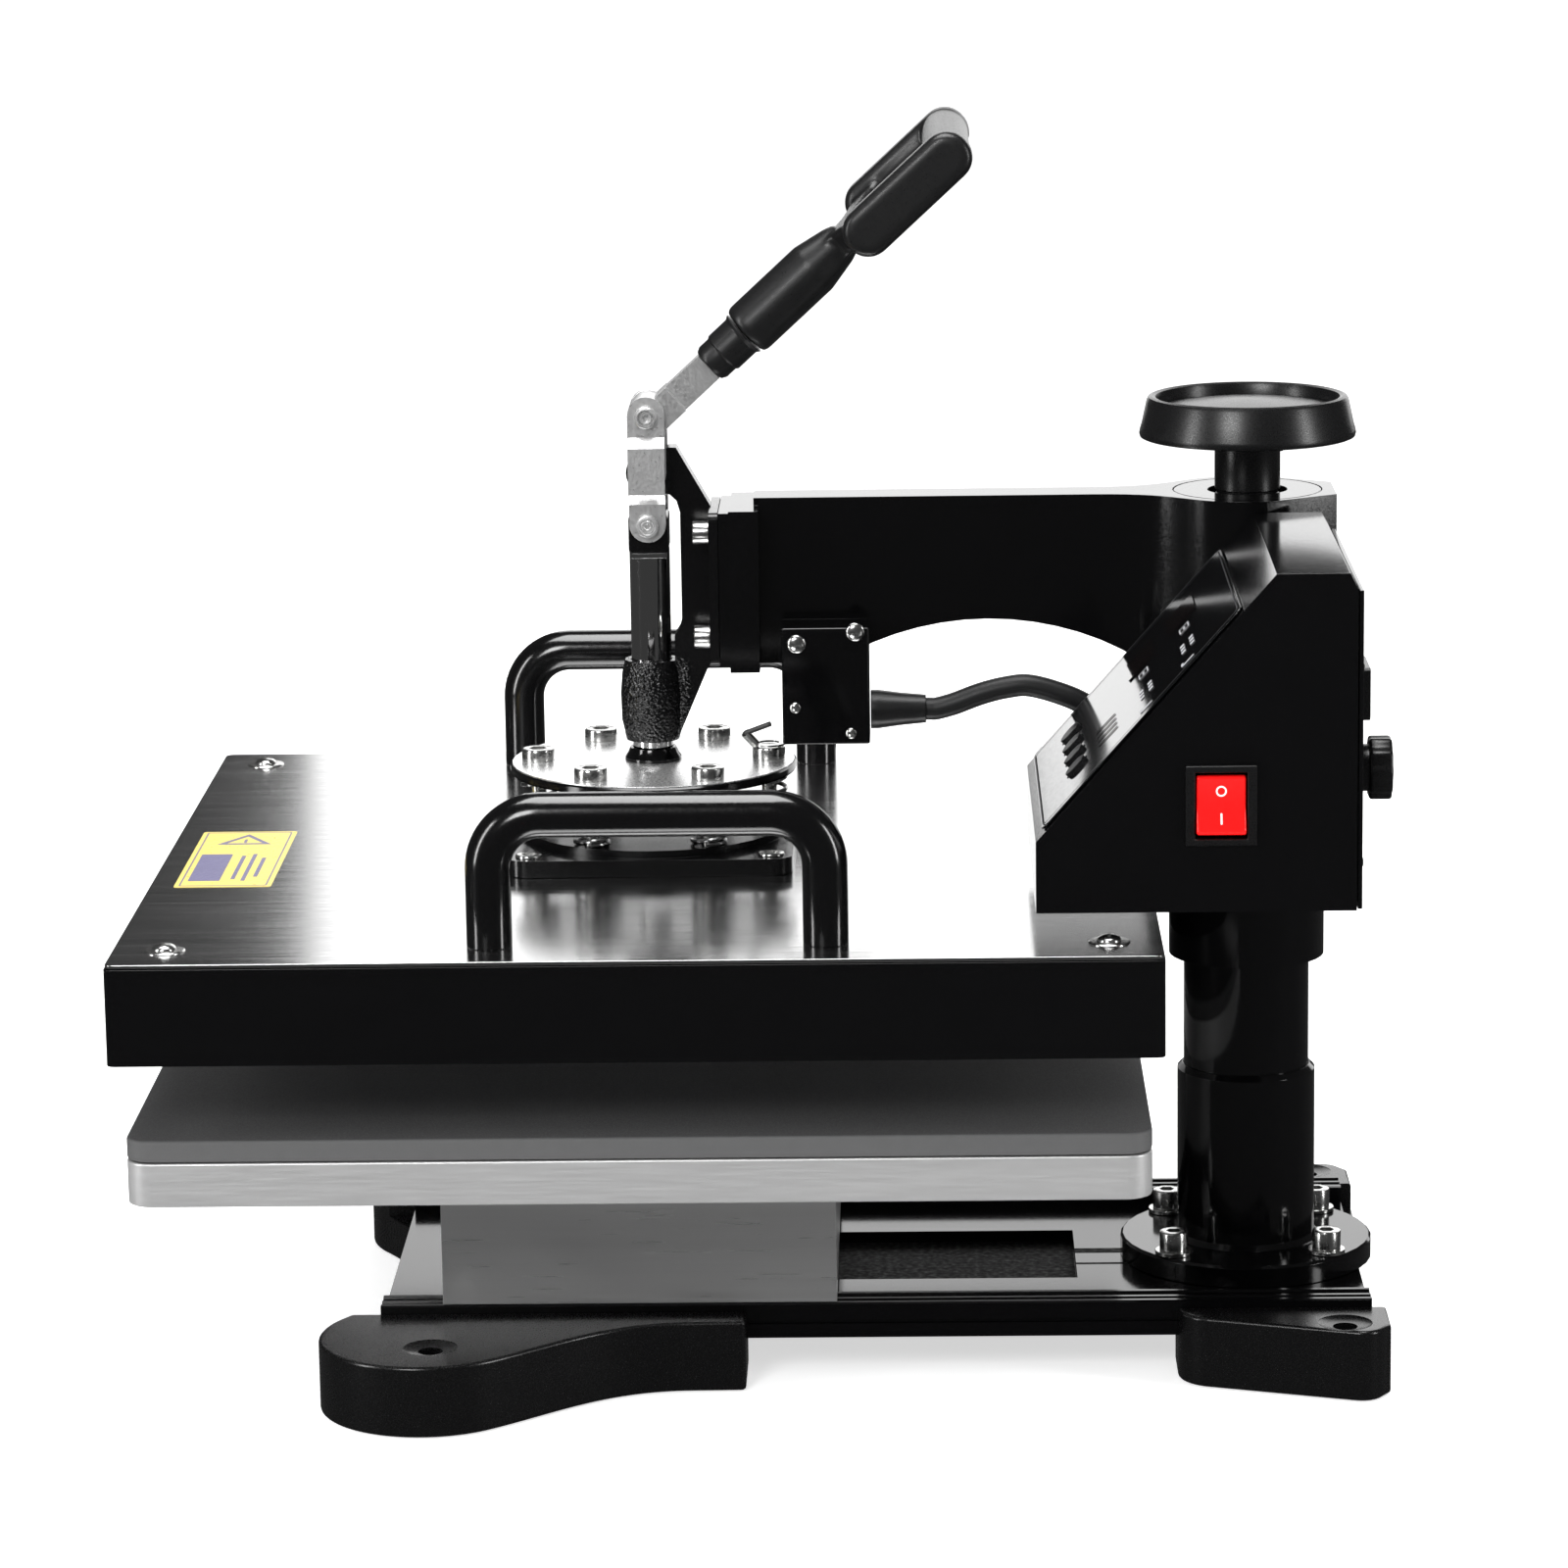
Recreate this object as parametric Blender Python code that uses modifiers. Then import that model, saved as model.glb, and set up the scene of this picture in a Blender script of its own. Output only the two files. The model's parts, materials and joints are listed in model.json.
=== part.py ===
"""Swing-away flat heat press, 380 mm square platens.

Frame: metres, +Z up, floor at z = 0. The operator stands at -Y, the column is at +Y, and the
control box is on the +X side. Y is zero halfway along the machine.
"""

from math import asin, atan2, cos, degrees, pi, radians, sin, sqrt

import bmesh
import bpy
from mathutils import Matrix, Vector

# Driving dimensions
COLUMN_Y = 0.1902  # column axis
REACH = 0.236  # column axis to press shaft axis
HEAD_Y = COLUMN_Y - REACH
GAP = 0.0003  # between touching pieces

# Base
RAIL_TOP = 0.0313
RAIL_BOTTOM = 0.0172
RAIL_OUT_X = 0.0875
RAIL_IN_X = 0.072
RAIL_WALL = 0.0025
BASE_FRONT = HEAD_Y - 0.107
BASE_REAR = HEAD_Y + 0.280
BASE_PLATE_TOP = 0.0245
BASE_PLATE_THICK = 0.005
SLOT_HALF_X = 0.0335
SLOT_FRONT = HEAD_Y - 0.060
SLOT_REAR = HEAD_Y + 0.167
FOOT_TOP = 0.028
FOOT_IN_X = 0.066
FOOT_HOLE_R = 0.0048
FOOT_DISH_R = 0.011

# Column
FLANGE_R = 0.0506
FLANGE_TOP = 0.0333
SLEEVE_R = 0.0276
SLEEVE_TOP = 0.1046
COLUMN_R = 0.025
COLUMN_BORE_R = 0.021
COLUMN_TOP = 0.300
FLANGE_SCREW_CIRCLE = 0.043
SCREW_HOLE_R = 0.0043

# Lower platen
PEDESTAL_HALF_X = 0.0872
PEDESTAL_FRONT = HEAD_Y - 0.0825
PEDESTAL_REAR = HEAD_Y + 0.0716
PLATEN_BOTTOM = 0.1015
PLATEN_THICK = 0.0168
PLATEN_SIDE = 0.381
PAD_SIDE = 0.381
PAD_THICK = 0.0084
PAD_TOP = PLATEN_BOTTOM + PLATEN_THICK + GAP + PAD_THICK

# Heat platen, open
HEAT_GAP = 0.0287
HEAT_BOTTOM = PAD_TOP + HEAT_GAP
HEAT_PLATE_SIDE = 0.380
HEAT_PLATE_THICK = 0.014
COVER_SIDE = 0.390
COVER_BOTTOM = HEAT_BOTTOM + 0.001
COVER_TOP = 0.1933
COVER_WALL = 0.002
SHEET_THICK = 0.0015
SHEET_TOP = COVER_TOP + GAP + SHEET_THICK
SEAT_SIDE = 0.112
SEAT_PLATE_R = 0.053
SEAT_TOP = SHEET_TOP + 0.0098
DISC_R = 0.0563
DISC_TOP = 0.2310
DISC_THICK = 0.0035
DISC_BOLT_CIRCLE = 0.046
GRIP_X = 0.1685
GRIP_Y = {-1: HEAD_Y - 0.0003, 1: HEAD_Y + 0.008}  # middles of the left and the right grip
GRIP_LENGTH = 0.1248
GRIP_TOP = 0.2445
GRIP_TUBE_R = 0.0085

# Toggle: the lever turns about PIVOT, the link joins the lever to the shaft head
CRANK = 0.023
LINK = 0.043
PIVOT = Vector((0, HEAD_Y, 0.3468))
CRANK_PIN = PIVOT + Vector((0, 0, CRANK))
SHAFT_PIN = CRANK_PIN - Vector((0, 0, LINK))
SHAFT_R = 0.008
SHAFT_CLEAR_R = 0.0083
PIN_R = 0.003
PIN_CLEAR_R = 0.0033
BOSS_R = 0.0085
WEB_HALF_X = 0.005
FORK_IN_X = 0.0064
FORK_OUT_X = 0.0094
LUG_IN_X = 0.0097
LUG_OUT_X = 0.0127
BOW_OFFSET = 0.0038
LEVER_ANGLE = radians(42.5)  # rest angle of the lever above the rearward horizontal
LEVER_DROP = 0.0032  # how far the lever's middle line runs below the crank pin
LEVER_HALF = 0.0060  # half the bar's height
LOOP_X = 0.0520  # middle of each of the handle's side pads

# Arm
ARM_TOP = 0.337
ARM_BOTTOM = 0.271
ARM_HALF_X = 0.0095
ARM_FRONT = HEAD_Y + 0.028
FRONT_BLOCK_FRONT = HEAD_Y + 0.032
FRONT_BLOCK_REAR = HEAD_Y + 0.0436
FRONT_BLOCK_HALF_X = 0.025
FRONT_PLATE_HALF_X = 0.023
FRONT_BLOCK_TOP = 0.334
ARCH_Y = HEAD_Y + 0.133
ARCH_TOP = 0.2878
ARCH_R = 0.117
HUB_R = 0.034
HUB_TUBE_R = 0.031
HUB_TUBE_BOTTOM = 0.150
HUB_BORE_R = 0.0254
HUB_BORE_TOP = 0.318
CAP_R = 0.0292
CAP_BOTTOM = 0.330
NECK_HOLE_R = 0.0157

# Pressure screw and knob
LIFT_SCREW_R = 0.008
THRUST_R = 0.020
KNOB_R = 0.0425
KNOB_TOP = 0.3745
KNOB_RIM_BOTTOM = 0.358
NECK_R = 0.0129

# Control box, on the +X side of the hub
BOX_X0 = 0.0345
BOX_X1 = 0.176
BOX_FRONT = HEAD_Y + 0.148
BOX_REAR = HEAD_Y + 0.268
BOX_BOTTOM = 0.207
BOX_NOSE_TOP = 0.2338
BOX_TOP = 0.3329
BOX_SLOPE_TOP_Y = HEAD_Y + 0.2362
BOX_WALL = 0.002
ROCKER_Y = HEAD_Y + 0.216
ROCKER_Z = 0.2473
INLET_X = 0.105
INLET_Z = 0.2768
FUSE_Z = 0.2462

# Connector box, strain relief and heater cable
CONNECTOR_LO = Vector((0.0098, HEAD_Y + 0.0523, 0.242))
CONNECTOR_HI = Vector((0.030, HEAD_Y + 0.0866, 0.2885))
CABLE_R = 0.0045
CABLE_X = 0.020
CABLE_ROUTE = [  # x, y from the press shaft, z
    (CABLE_X, 0.1090, 0.2540),
    (CABLE_X, 0.1105, 0.2540),
    (CABLE_X, 0.1130, 0.2541),
    (CABLE_X, 0.1200, 0.2560),
    (CABLE_X, 0.1300, 0.2597),
    (CABLE_X, 0.1400, 0.2622),
    (CABLE_X, 0.1500, 0.2628),
    (CABLE_X, 0.1650, 0.2582),
    (CABLE_X, 0.1760, 0.2522),
    (0.0225, 0.1840, 0.2472),
    (0.0275, 0.1890, 0.2458),
    (0.0315, 0.1900, 0.2455),
    (BOX_X0 - GAP, 0.1900, 0.2455),
]

# Local axes for outlines: the curve's X, Y and thickness turn to these world axes
SIDE_VIEW = Matrix(((0, 0, 1), (1, 0, 0), (0, 1, 0))).to_4x4()  # X to Y, Y to Z, thickness to X
FRONT_VIEW = Matrix(((1, 0, 0), (0, 0, -1), (0, 1, 0))).to_4x4()  # X to X, Y to Z, thickness to -Y
TOP_VIEW = Matrix.Identity(4)


# Scene, collections and materials

for old in list(bpy.data.objects):
    bpy.data.objects.remove(old, do_unlink=True)

parts = bpy.data.collections.new("heat_press")
cutters = bpy.data.collections.new("cutters")
bpy.context.scene.collection.children.link(parts)
bpy.context.scene.collection.children.link(cutters)


def material(name, colour, roughness, metallic=0.0):
    made = bpy.data.materials.new(name)
    made.use_nodes = True
    shader = made.node_tree.nodes["Principled BSDF"]
    shader.inputs["Base Color"].default_value = (*colour, 1)
    shader.inputs["Roughness"].default_value = roughness
    shader.inputs["Metallic"].default_value = metallic
    return made


BLACK_PAINT = material("black_paint", (0.012, 0.012, 0.013), 0.18)
BLACK_CAST = material("black_cast", (0.014, 0.014, 0.015), 0.4)
BLACK_PLASTIC = material("black_plastic", (0.015, 0.015, 0.016), 0.35)
BLACK_RUBBER = material("black_rubber", (0.02, 0.02, 0.02), 0.6)
GREY_SILICONE = material("grey_silicone", (0.07, 0.07, 0.07), 0.7)
ALUMINIUM = material("aluminium", (0.55, 0.55, 0.55), 0.35, 1.0)
BRUSHED_STEEL = material("brushed_steel", (0.62, 0.62, 0.61), 0.25, 1.0)
CHROME = material("chrome", (0.8, 0.8, 0.8), 0.08, 1.0)
ZINC = material("zinc_steel", (0.6, 0.6, 0.59), 0.3, 1.0)
RED_PLASTIC = material("red_plastic", (0.7, 0.02, 0.015), 0.25)
BOARD_GREEN = material("circuit_board", (0.02, 0.12, 0.05), 0.4)
MINERAL_BOARD = material("mineral_board", (0.6, 0.57, 0.5), 0.9)


# Shape helpers

def pivot(name, place, parent=None):
    """An empty on a joint's axis, which the body's pieces are parented to."""
    empty = bpy.data.objects.new(name, None)
    parts.objects.link(empty)
    empty.location = place
    bpy.context.view_layer.update()
    if parent:
        attach(empty, parent)
    return empty


def attach(obj, parent):
    bpy.context.view_layer.update()
    obj.parent = parent
    obj.matrix_parent_inverse = parent.matrix_world.inverted()


def from_bmesh(name, bm, turn=None):
    if turn is not None:
        bmesh.ops.transform(bm, matrix=turn, verts=bm.verts)
    bmesh.ops.recalc_face_normals(bm, faces=bm.faces)
    mesh = bpy.data.meshes.new(name)
    bm.to_mesh(mesh)
    bm.free()
    obj = bpy.data.objects.new(name, mesh)
    parts.objects.link(obj)
    return obj


def box(name, low, high):
    low, high = Vector(low), Vector(high)
    bm = bmesh.new()
    bmesh.ops.create_cube(bm, size=1)
    bmesh.ops.scale(bm, vec=high - low, verts=bm.verts)
    bmesh.ops.translate(bm, vec=(low + high) / 2, verts=bm.verts)
    return from_bmesh(name, bm)


def rod(name, start, end, radius, segments=24):
    """A cylinder between two points."""
    start, end = Vector(start), Vector(end)
    bm = bmesh.new()
    bmesh.ops.create_cone(
        bm, cap_ends=True, segments=segments, radius1=radius, radius2=radius, depth=(end - start).length
    )
    turn = (end - start).to_track_quat("Z", "Y").to_matrix().to_4x4()
    return from_bmesh(name, bm, Matrix.Translation((start + end) / 2) @ turn)


def turned(name, profile, place, axis=(0, 0, 1), segments=32):
    """A closed ring profile of (radius, height) turned about an axis through place.

    The profile runs down its outer side first. One that starts and ends on the axis is solid,
    and any other has a bore.
    """
    solid = profile[0][0] == 0 and profile[-1][0] == 0
    count = len(profile)
    bm = bmesh.new()
    points = [bm.verts.new((radius, 0, height)) for radius, height in profile]
    for i in range(count - 1 if solid else count):
        bm.edges.new((points[i], points[(i + 1) % count]))
    mesh = bpy.data.meshes.new(name)
    bm.to_mesh(mesh)
    bm.free()
    obj = bpy.data.objects.new(name, mesh)
    parts.objects.link(obj)
    screw = obj.modifiers.new("Screw", "SCREW")
    screw.steps = screw.render_steps = segments
    screw.use_merge_vertices = True
    screw.merge_threshold = 0.00005
    screw.use_smooth_shade = False
    obj.rotation_mode = "QUATERNION"
    obj.rotation_quaternion = Vector(axis).to_track_quat("Z", "Y")
    obj.location = place
    return obj


def as_mesh(obj):
    """The object as its modifiers leave it, in world coordinates, welded, with its flats whole."""
    bpy.context.view_layer.update()
    graph = bpy.context.evaluated_depsgraph_get()
    evaluated = obj.evaluated_get(graph)
    mesh = bpy.data.meshes.new_from_object(evaluated)
    mesh.transform(obj.matrix_world)
    name = obj.name
    bpy.data.objects.remove(obj)
    bm = bmesh.new()
    bm.from_mesh(mesh)
    bmesh.ops.remove_doubles(bm, verts=bm.verts, dist=0.000005)
    bmesh.ops.dissolve_limit(bm, angle_limit=radians(0.2), verts=bm.verts, edges=bm.edges)
    bmesh.ops.recalc_face_normals(bm, faces=bm.faces)
    bm.to_mesh(mesh)
    bm.free()
    made = bpy.data.objects.new(name, mesh)
    made.name = name
    parts.objects.link(made)
    return made


def plate(name, outline, low, high, view=TOP_VIEW, holes=()):
    """A flat outline, with holes, as thick as low to high along the view's thickness axis."""
    curve = bpy.data.curves.new(name, "CURVE")
    curve.dimensions = "2D"
    curve.fill_mode = "BOTH"
    curve.extrude = (high - low) / 2
    for loop in (outline, *holes):
        spline = curve.splines.new("POLY")
        spline.points.add(len(loop) - 1)
        for point, (x, y) in zip(spline.points, loop):
            point.co = (x, y, 0, 1)
        spline.use_cyclic_u = True
    obj = bpy.data.objects.new(name, curve)
    parts.objects.link(obj)
    obj.matrix_world = view @ Matrix.Translation((0, 0, (low + high) / 2))
    return as_mesh(obj)


def arc(centre, radius, start, end, steps):
    """Points of an arc, in degrees, both ends included."""
    return [
        (centre[0] + radius * cos(radians(a)), centre[1] + radius * sin(radians(a)))
        for a in (start + (end - start) * i / steps for i in range(steps + 1))
    ]


def ring(centre, radius, steps=24):
    return arc(centre, radius, 0, 360 - 360 / steps, steps - 1)


def rounded(half_x, half_y, radius, centre=(0, 0), steps=5):
    """A rectangle with round corners."""
    corners = ((1, 1, 0), (-1, 1, 90), (-1, -1, 180), (1, -1, 270))
    points = []
    for sx, sy, start in corners:
        middle = (centre[0] + sx * (half_x - radius), centre[1] + sy * (half_y - radius))
        points += arc(middle, radius, start, start + 90, steps)
    return points


def bend(start, first, second, end, steps):
    """Points of a cubic curve after its start, up to and with its end."""
    points = []
    for i in range(1, steps + 1):
        t = i / steps
        weights = ((1 - t) ** 3, 3 * t * (1 - t) ** 2, 3 * t * t * (1 - t), t**3)
        corners = (start, first, second, end)
        points.append(tuple(sum(w * p[k] for w, p in zip(weights, corners)) for k in (0, 1)))
    return points


def mirrored(points):
    return [(-x, y) for x, y in reversed(points)]


def tube(name, points, radius, resolution):
    curve = bpy.data.curves.new(name, "CURVE")
    curve.dimensions = "3D"
    curve.bevel_depth = radius
    curve.bevel_resolution = resolution
    curve.use_fill_caps = True
    spline = curve.splines.new("POLY")
    spline.points.add(len(points) - 1)
    for point, place in zip(spline.points, points):
        point.co = (*place, 1)
    obj = bpy.data.objects.new(name, curve)
    parts.objects.link(obj)
    return obj


def smooth_route(points, steps):
    """A smooth curve through the points, as Catmull-Rom spans."""
    points = [Vector(p) for p in points]
    padded = [2 * points[0] - points[1], *points, 2 * points[-1] - points[-2]]
    route = [points[0]]
    for before, start, end, after in zip(padded, padded[1:], padded[2:], padded[3:]):
        for i in range(1, steps + 1):
            t = i / steps
            route.append(
                0.5
                * (
                    2 * start
                    + (end - before) * t
                    + (2 * before - 5 * start + 4 * end - after) * t * t
                    + (3 * start - before - 3 * end + after) * t**3
                )
            )
    return route


def combine(obj, tool, operation):
    """A Boolean of the object with a hidden tool."""
    if any(m.type == "SCREW" for m in tool.modifiers):
        tool = as_mesh(tool)
    parts.objects.unlink(tool)
    cutters.objects.link(tool)
    tool.name = "cutter_" + tool.name
    tool.hide_render = True
    tool.display_type = "WIRE"
    boolean = obj.modifiers.new("Boolean", "BOOLEAN")
    boolean.operation = operation
    boolean.solver = "EXACT"
    boolean.object = tool


def cut(obj, *tools):
    for tool in tools:
        combine(obj, tool, "DIFFERENCE")


def join(obj, *tools):
    for tool in tools:
        combine(obj, tool, "UNION")


def finish(obj, surface, parent=None, smooth=True):
    """Gives a piece its material and its body, and shades it."""
    obj.data.materials.clear()
    obj.data.materials.append(surface)
    if smooth and obj.type == "MESH":
        obj.data.shade_smooth()
        obj.data.set_sharp_from_angle(angle=radians(30))
    if parent:
        attach(obj, parent)
    return obj


# Base

def base_rail(name, side):
    outer, inner = side * RAIL_OUT_X, side * RAIL_IN_X
    wall = side * RAIL_WALL
    outline = [
        (outer, RAIL_BOTTOM),
        (outer, RAIL_TOP),
        (inner, RAIL_TOP),
        (inner, RAIL_BOTTOM),
        (inner + wall, RAIL_BOTTOM),
        (inner + wall, RAIL_TOP - RAIL_WALL),
        (outer - wall, RAIL_TOP - RAIL_WALL),
        (outer - wall, RAIL_BOTTOM),
    ]
    finish(plate(name, outline, -BASE_REAR, -BASE_FRONT, FRONT_VIEW), BLACK_PAINT)


def flange_screw_places():
    for index in range(4):
        angle = pi / 4 + index * pi / 2
        yield FLANGE_SCREW_CIRCLE * cos(angle), COLUMN_Y + FLANGE_SCREW_CIRCLE * sin(angle)


def base_plate():
    edge = RAIL_IN_X - GAP
    outline = [(-edge, BASE_FRONT), (edge, BASE_FRONT), (edge, BASE_REAR), (-edge, BASE_REAR)]
    slot = [
        (-SLOT_HALF_X, SLOT_FRONT),
        (SLOT_HALF_X, SLOT_FRONT),
        (SLOT_HALF_X, SLOT_REAR),
        (-SLOT_HALF_X, SLOT_REAR),
    ]
    holes = [slot] + [ring(place, SCREW_HOLE_R, 16) for place in flange_screw_places()]
    low = BASE_PLATE_TOP - BASE_PLATE_THICK
    body = plate("base_plate", outline, low, BASE_PLATE_TOP, holes=holes)
    lap = SLOT_HALF_X + 0.003
    pan_low, pan_high = (-lap, SLOT_FRONT - 0.003, low - 0.0012), (lap, SLOT_REAR + 0.003, low + 0.0002)
    join(body, box("slot_pan", pan_low, pan_high))
    finish(body, BLACK_PAINT)


def foot(name, outline, hole, side):
    """A cast foot, with a step that the rail and the base plate rest on."""
    if side < 0:
        outline = mirrored(outline)
    body = plate(name, outline, 0, FOOT_TOP)
    place = (side * hole[0], hole[1])
    step_in, step_out = sorted((side * (FOOT_IN_X - 0.001), side * (RAIL_OUT_X + GAP)))
    cut(
        body,
        box(
            "step_" + name,
            (step_in, BASE_FRONT - 0.02, RAIL_BOTTOM - GAP),
            (step_out, BASE_REAR + 0.02, FOOT_TOP + 0.01),
        ),
        rod("hole_" + name, (*place, -0.01), (*place, 0.05), FOOT_HOLE_R, 16),
        turned(
            "dish_" + name,
            [(0, 0.01), (FOOT_DISH_R, 0.01), (FOOT_DISH_R, 0), (FOOT_HOLE_R, -0.0015), (0, -0.0015)],
            (*place, FOOT_TOP),
            segments=24,
        ),
    )
    finish(body, BLACK_CAST)


def front_foot_outline():
    """A round lobe that narrows rearwards to an arm along the rail."""
    middle, radius = (0.1145, HEAD_Y - 0.0865), 0.042
    lobe = arc(middle, radius, -126, 38, 14)
    leave = Vector((-sin(radians(38)), cos(radians(38)))) * 0.030
    arm_start = (0.1015, HEAD_Y + 0.012)
    flank = bend(
        lobe[-1],
        (lobe[-1][0] + leave.x, lobe[-1][1] + leave.y),
        (arm_start[0] + 0.002, arm_start[1] - 0.032),
        arm_start,
        9,
    )
    arm_end = arc((0.0990, HEAD_Y + 0.0340), 0.002, 0, 90, 3)
    return [(FOOT_IN_X, HEAD_Y - 0.1065), *lobe, *flank, *arm_end, (FOOT_IN_X, HEAD_Y + 0.036)]


def rear_foot_outline():
    front = arc((0.0862, HEAD_Y + 0.2205), 0.016, -90, -19, 6)
    corner = arc((0.1113, HEAD_Y + 0.2740), 0.009, -19, 62, 6)
    return [
        (FOOT_IN_X, HEAD_Y + 0.2045),
        *front,
        *corner,
        (0.1100, HEAD_Y + 0.2855),
        (FOOT_IN_X, HEAD_Y + 0.2855),
    ]


# Column

def column():
    base = turned(
        "column_base",
        [
            (COLUMN_R + GAP, SLEEVE_TOP),
            (SLEEVE_R - 0.002, SLEEVE_TOP),
            (SLEEVE_R, SLEEVE_TOP - 0.002),
            (SLEEVE_R, FLANGE_TOP + 0.002),
            (SLEEVE_R + 0.002, FLANGE_TOP),
            (FLANGE_R - 0.001, FLANGE_TOP),
            (FLANGE_R, FLANGE_TOP - 0.001),
            (FLANGE_R, BASE_PLATE_TOP + GAP),
            (COLUMN_R + GAP, BASE_PLATE_TOP + GAP),
        ],
        (0, COLUMN_Y, 0),
        segments=36,
    )
    base = as_mesh(base)
    for index, place in enumerate(flange_screw_places(), 1):
        cut(base, rod(f"flange_hole_{index}", (*place, 0), (*place, 0.05), SCREW_HOLE_R, 16))
    finish(base, BLACK_PAINT)
    for index, place in enumerate(flange_screw_places(), 1):
        top = (*place, FLANGE_TOP + GAP)
        finish(socket_screw(f"flange_screw_{index}", top, 0.0058, 0.008, 0.004, 0.017, 0.0075), ZINC)

    finish(
        turned(
            "column_tube",
            [
                (COLUMN_BORE_R, COLUMN_TOP),
                (COLUMN_R, COLUMN_TOP),
                (COLUMN_R, BASE_PLATE_TOP + GAP),
                (COLUMN_BORE_R, BASE_PLATE_TOP + GAP),
            ],
            (0, COLUMN_Y, 0),
            segments=36,
        ),
        BLACK_PAINT,
    )
    nut_top, nut_bottom = COLUMN_TOP - 0.008, COLUMN_TOP - 0.030
    finish(
        turned(
            "column_nut",
            [
                (LIFT_SCREW_R + GAP, nut_top),
                (COLUMN_BORE_R - GAP, nut_top),
                (COLUMN_BORE_R - GAP, nut_bottom),
                (LIFT_SCREW_R + GAP, nut_bottom),
            ],
            (0, COLUMN_Y, 0),
        ),
        ZINC,
    )


def socket_screw(name, place, head_r, head_height, shank_r, shank_length, washer_r=None):
    """A cap screw that points down, with its head's underside, or its washer's, at place."""
    washer = 0.0015 if washer_r else 0
    top = washer + head_height
    profile = [
        (0, top - head_height / 2),
        (head_r / 2, top - head_height / 2),
        (head_r / 2, top),
        (head_r - 0.0005, top),
        (head_r, top - 0.0005),
        (head_r, washer),
    ]
    if washer_r:
        profile += [(washer_r, washer), (washer_r, 0)]
    profile += [(shank_r, 0), (shank_r, -shank_length), (0, -shank_length)]
    return turned(name, profile, place, segments=16)


# Lower platen

def lower_platen():
    pedestal = box(
        "pedestal",
        (-PEDESTAL_HALF_X, PEDESTAL_FRONT, RAIL_TOP + GAP),
        (PEDESTAL_HALF_X, PEDESTAL_REAR, PLATEN_BOTTOM - GAP),
    )
    open_side(pedestal, (0, 0, -1), 0.002)
    finish(pedestal, BRUSHED_STEEL)
    middle = (0, HEAD_Y)
    top = PLATEN_BOTTOM + PLATEN_THICK
    half, pad_half = PLATEN_SIDE / 2, PAD_SIDE / 2
    finish(plate("lower_platen", rounded(half, half, 0.010, middle), PLATEN_BOTTOM, top), ALUMINIUM)
    pad = plate("silicone_pad", rounded(pad_half, pad_half, 0.010, middle), top + GAP, PAD_TOP)
    finish(pad, GREY_SILICONE)


def open_side(obj, direction, wall):
    """Turns a closed form into a shell that is open on its flat side facing direction."""
    bm = bmesh.new()
    bm.from_mesh(obj.data)
    bm.normal_update()
    facing = [f for f in bm.faces if f.normal.dot(Vector(direction)) > 0.999]
    bmesh.ops.delete(bm, geom=facing, context="FACES")
    bm.to_mesh(obj.data)
    bm.free()
    solidify = obj.modifiers.new("Solidify", "SOLIDIFY")
    solidify.thickness = wall
    solidify.offset = -1
    solidify.use_even_offset = True


# Heat platen, its spring plate and the press shaft

def disc_bolt_places():
    for index in range(6):
        angle = index * pi / 3 + pi / 2
        yield DISC_BOLT_CIRCLE * cos(angle), HEAD_Y + DISC_BOLT_CIRCLE * sin(angle)


def heat_platen(body):
    middle = (0, HEAD_Y)
    half = HEAT_PLATE_SIDE / 2
    top = HEAT_BOTTOM + HEAT_PLATE_THICK
    finish(plate("heating_plate", rounded(half, half, 0.006, middle), HEAT_BOTTOM, top), ALUMINIUM, body)
    board = half - 0.006
    finish(
        plate("insulation_board", rounded(board, board, 0.004, middle), top + GAP, top + 0.014),
        MINERAL_BOARD,
        body,
    )
    cover_half = COVER_SIDE / 2
    cover = plate("platen_cover", rounded(cover_half, cover_half, 0.003, middle, 3), COVER_BOTTOM, COVER_TOP)
    open_side(cover, (0, 0, -1), COVER_WALL)
    finish(cover, BLACK_PAINT, body)
    sheet = cover_half - 0.0005
    finish(
        plate("cover_sheet", rounded(sheet, sheet, 0.003, middle, 3), COVER_TOP + GAP, SHEET_TOP),
        BRUSHED_STEEL,
        body,
    )


def spring_mount(body):
    middle = (0, HEAD_Y)
    holes = [ring(place, PIN_CLEAR_R, 12) for place in disc_bolt_places()]
    half, step = SEAT_SIDE / 2, SEAT_TOP - 0.003
    seat = plate("spring_seat", rounded(half, half, 0.008, middle), SHEET_TOP + GAP, step)
    join(seat, plate("seat_round", ring(middle, SEAT_PLATE_R, 36), step - 0.001, SEAT_TOP))
    for index, place in enumerate(disc_bolt_places(), 1):
        cut(seat, rod(f"seat_hole_{index}", (*place, 0.19), (*place, 0.22), PIN_CLEAR_R, 12))
    finish(seat, BLACK_CAST, body)

    holes.append(ring(middle, 0.0063, 24))
    disc = plate("spring_disc", ring(middle, DISC_R, 40), DISC_TOP - DISC_THICK, DISC_TOP, holes=holes)
    finish(disc, CHROME, body)
    for index, place in enumerate(disc_bolt_places(), 1):
        bolt = socket_screw(f"disc_bolt_{index}", (*place, DISC_TOP + GAP), 0.0065, 0.0048, PIN_R, 0.0315)
        finish(bolt, ZINC, body)


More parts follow.
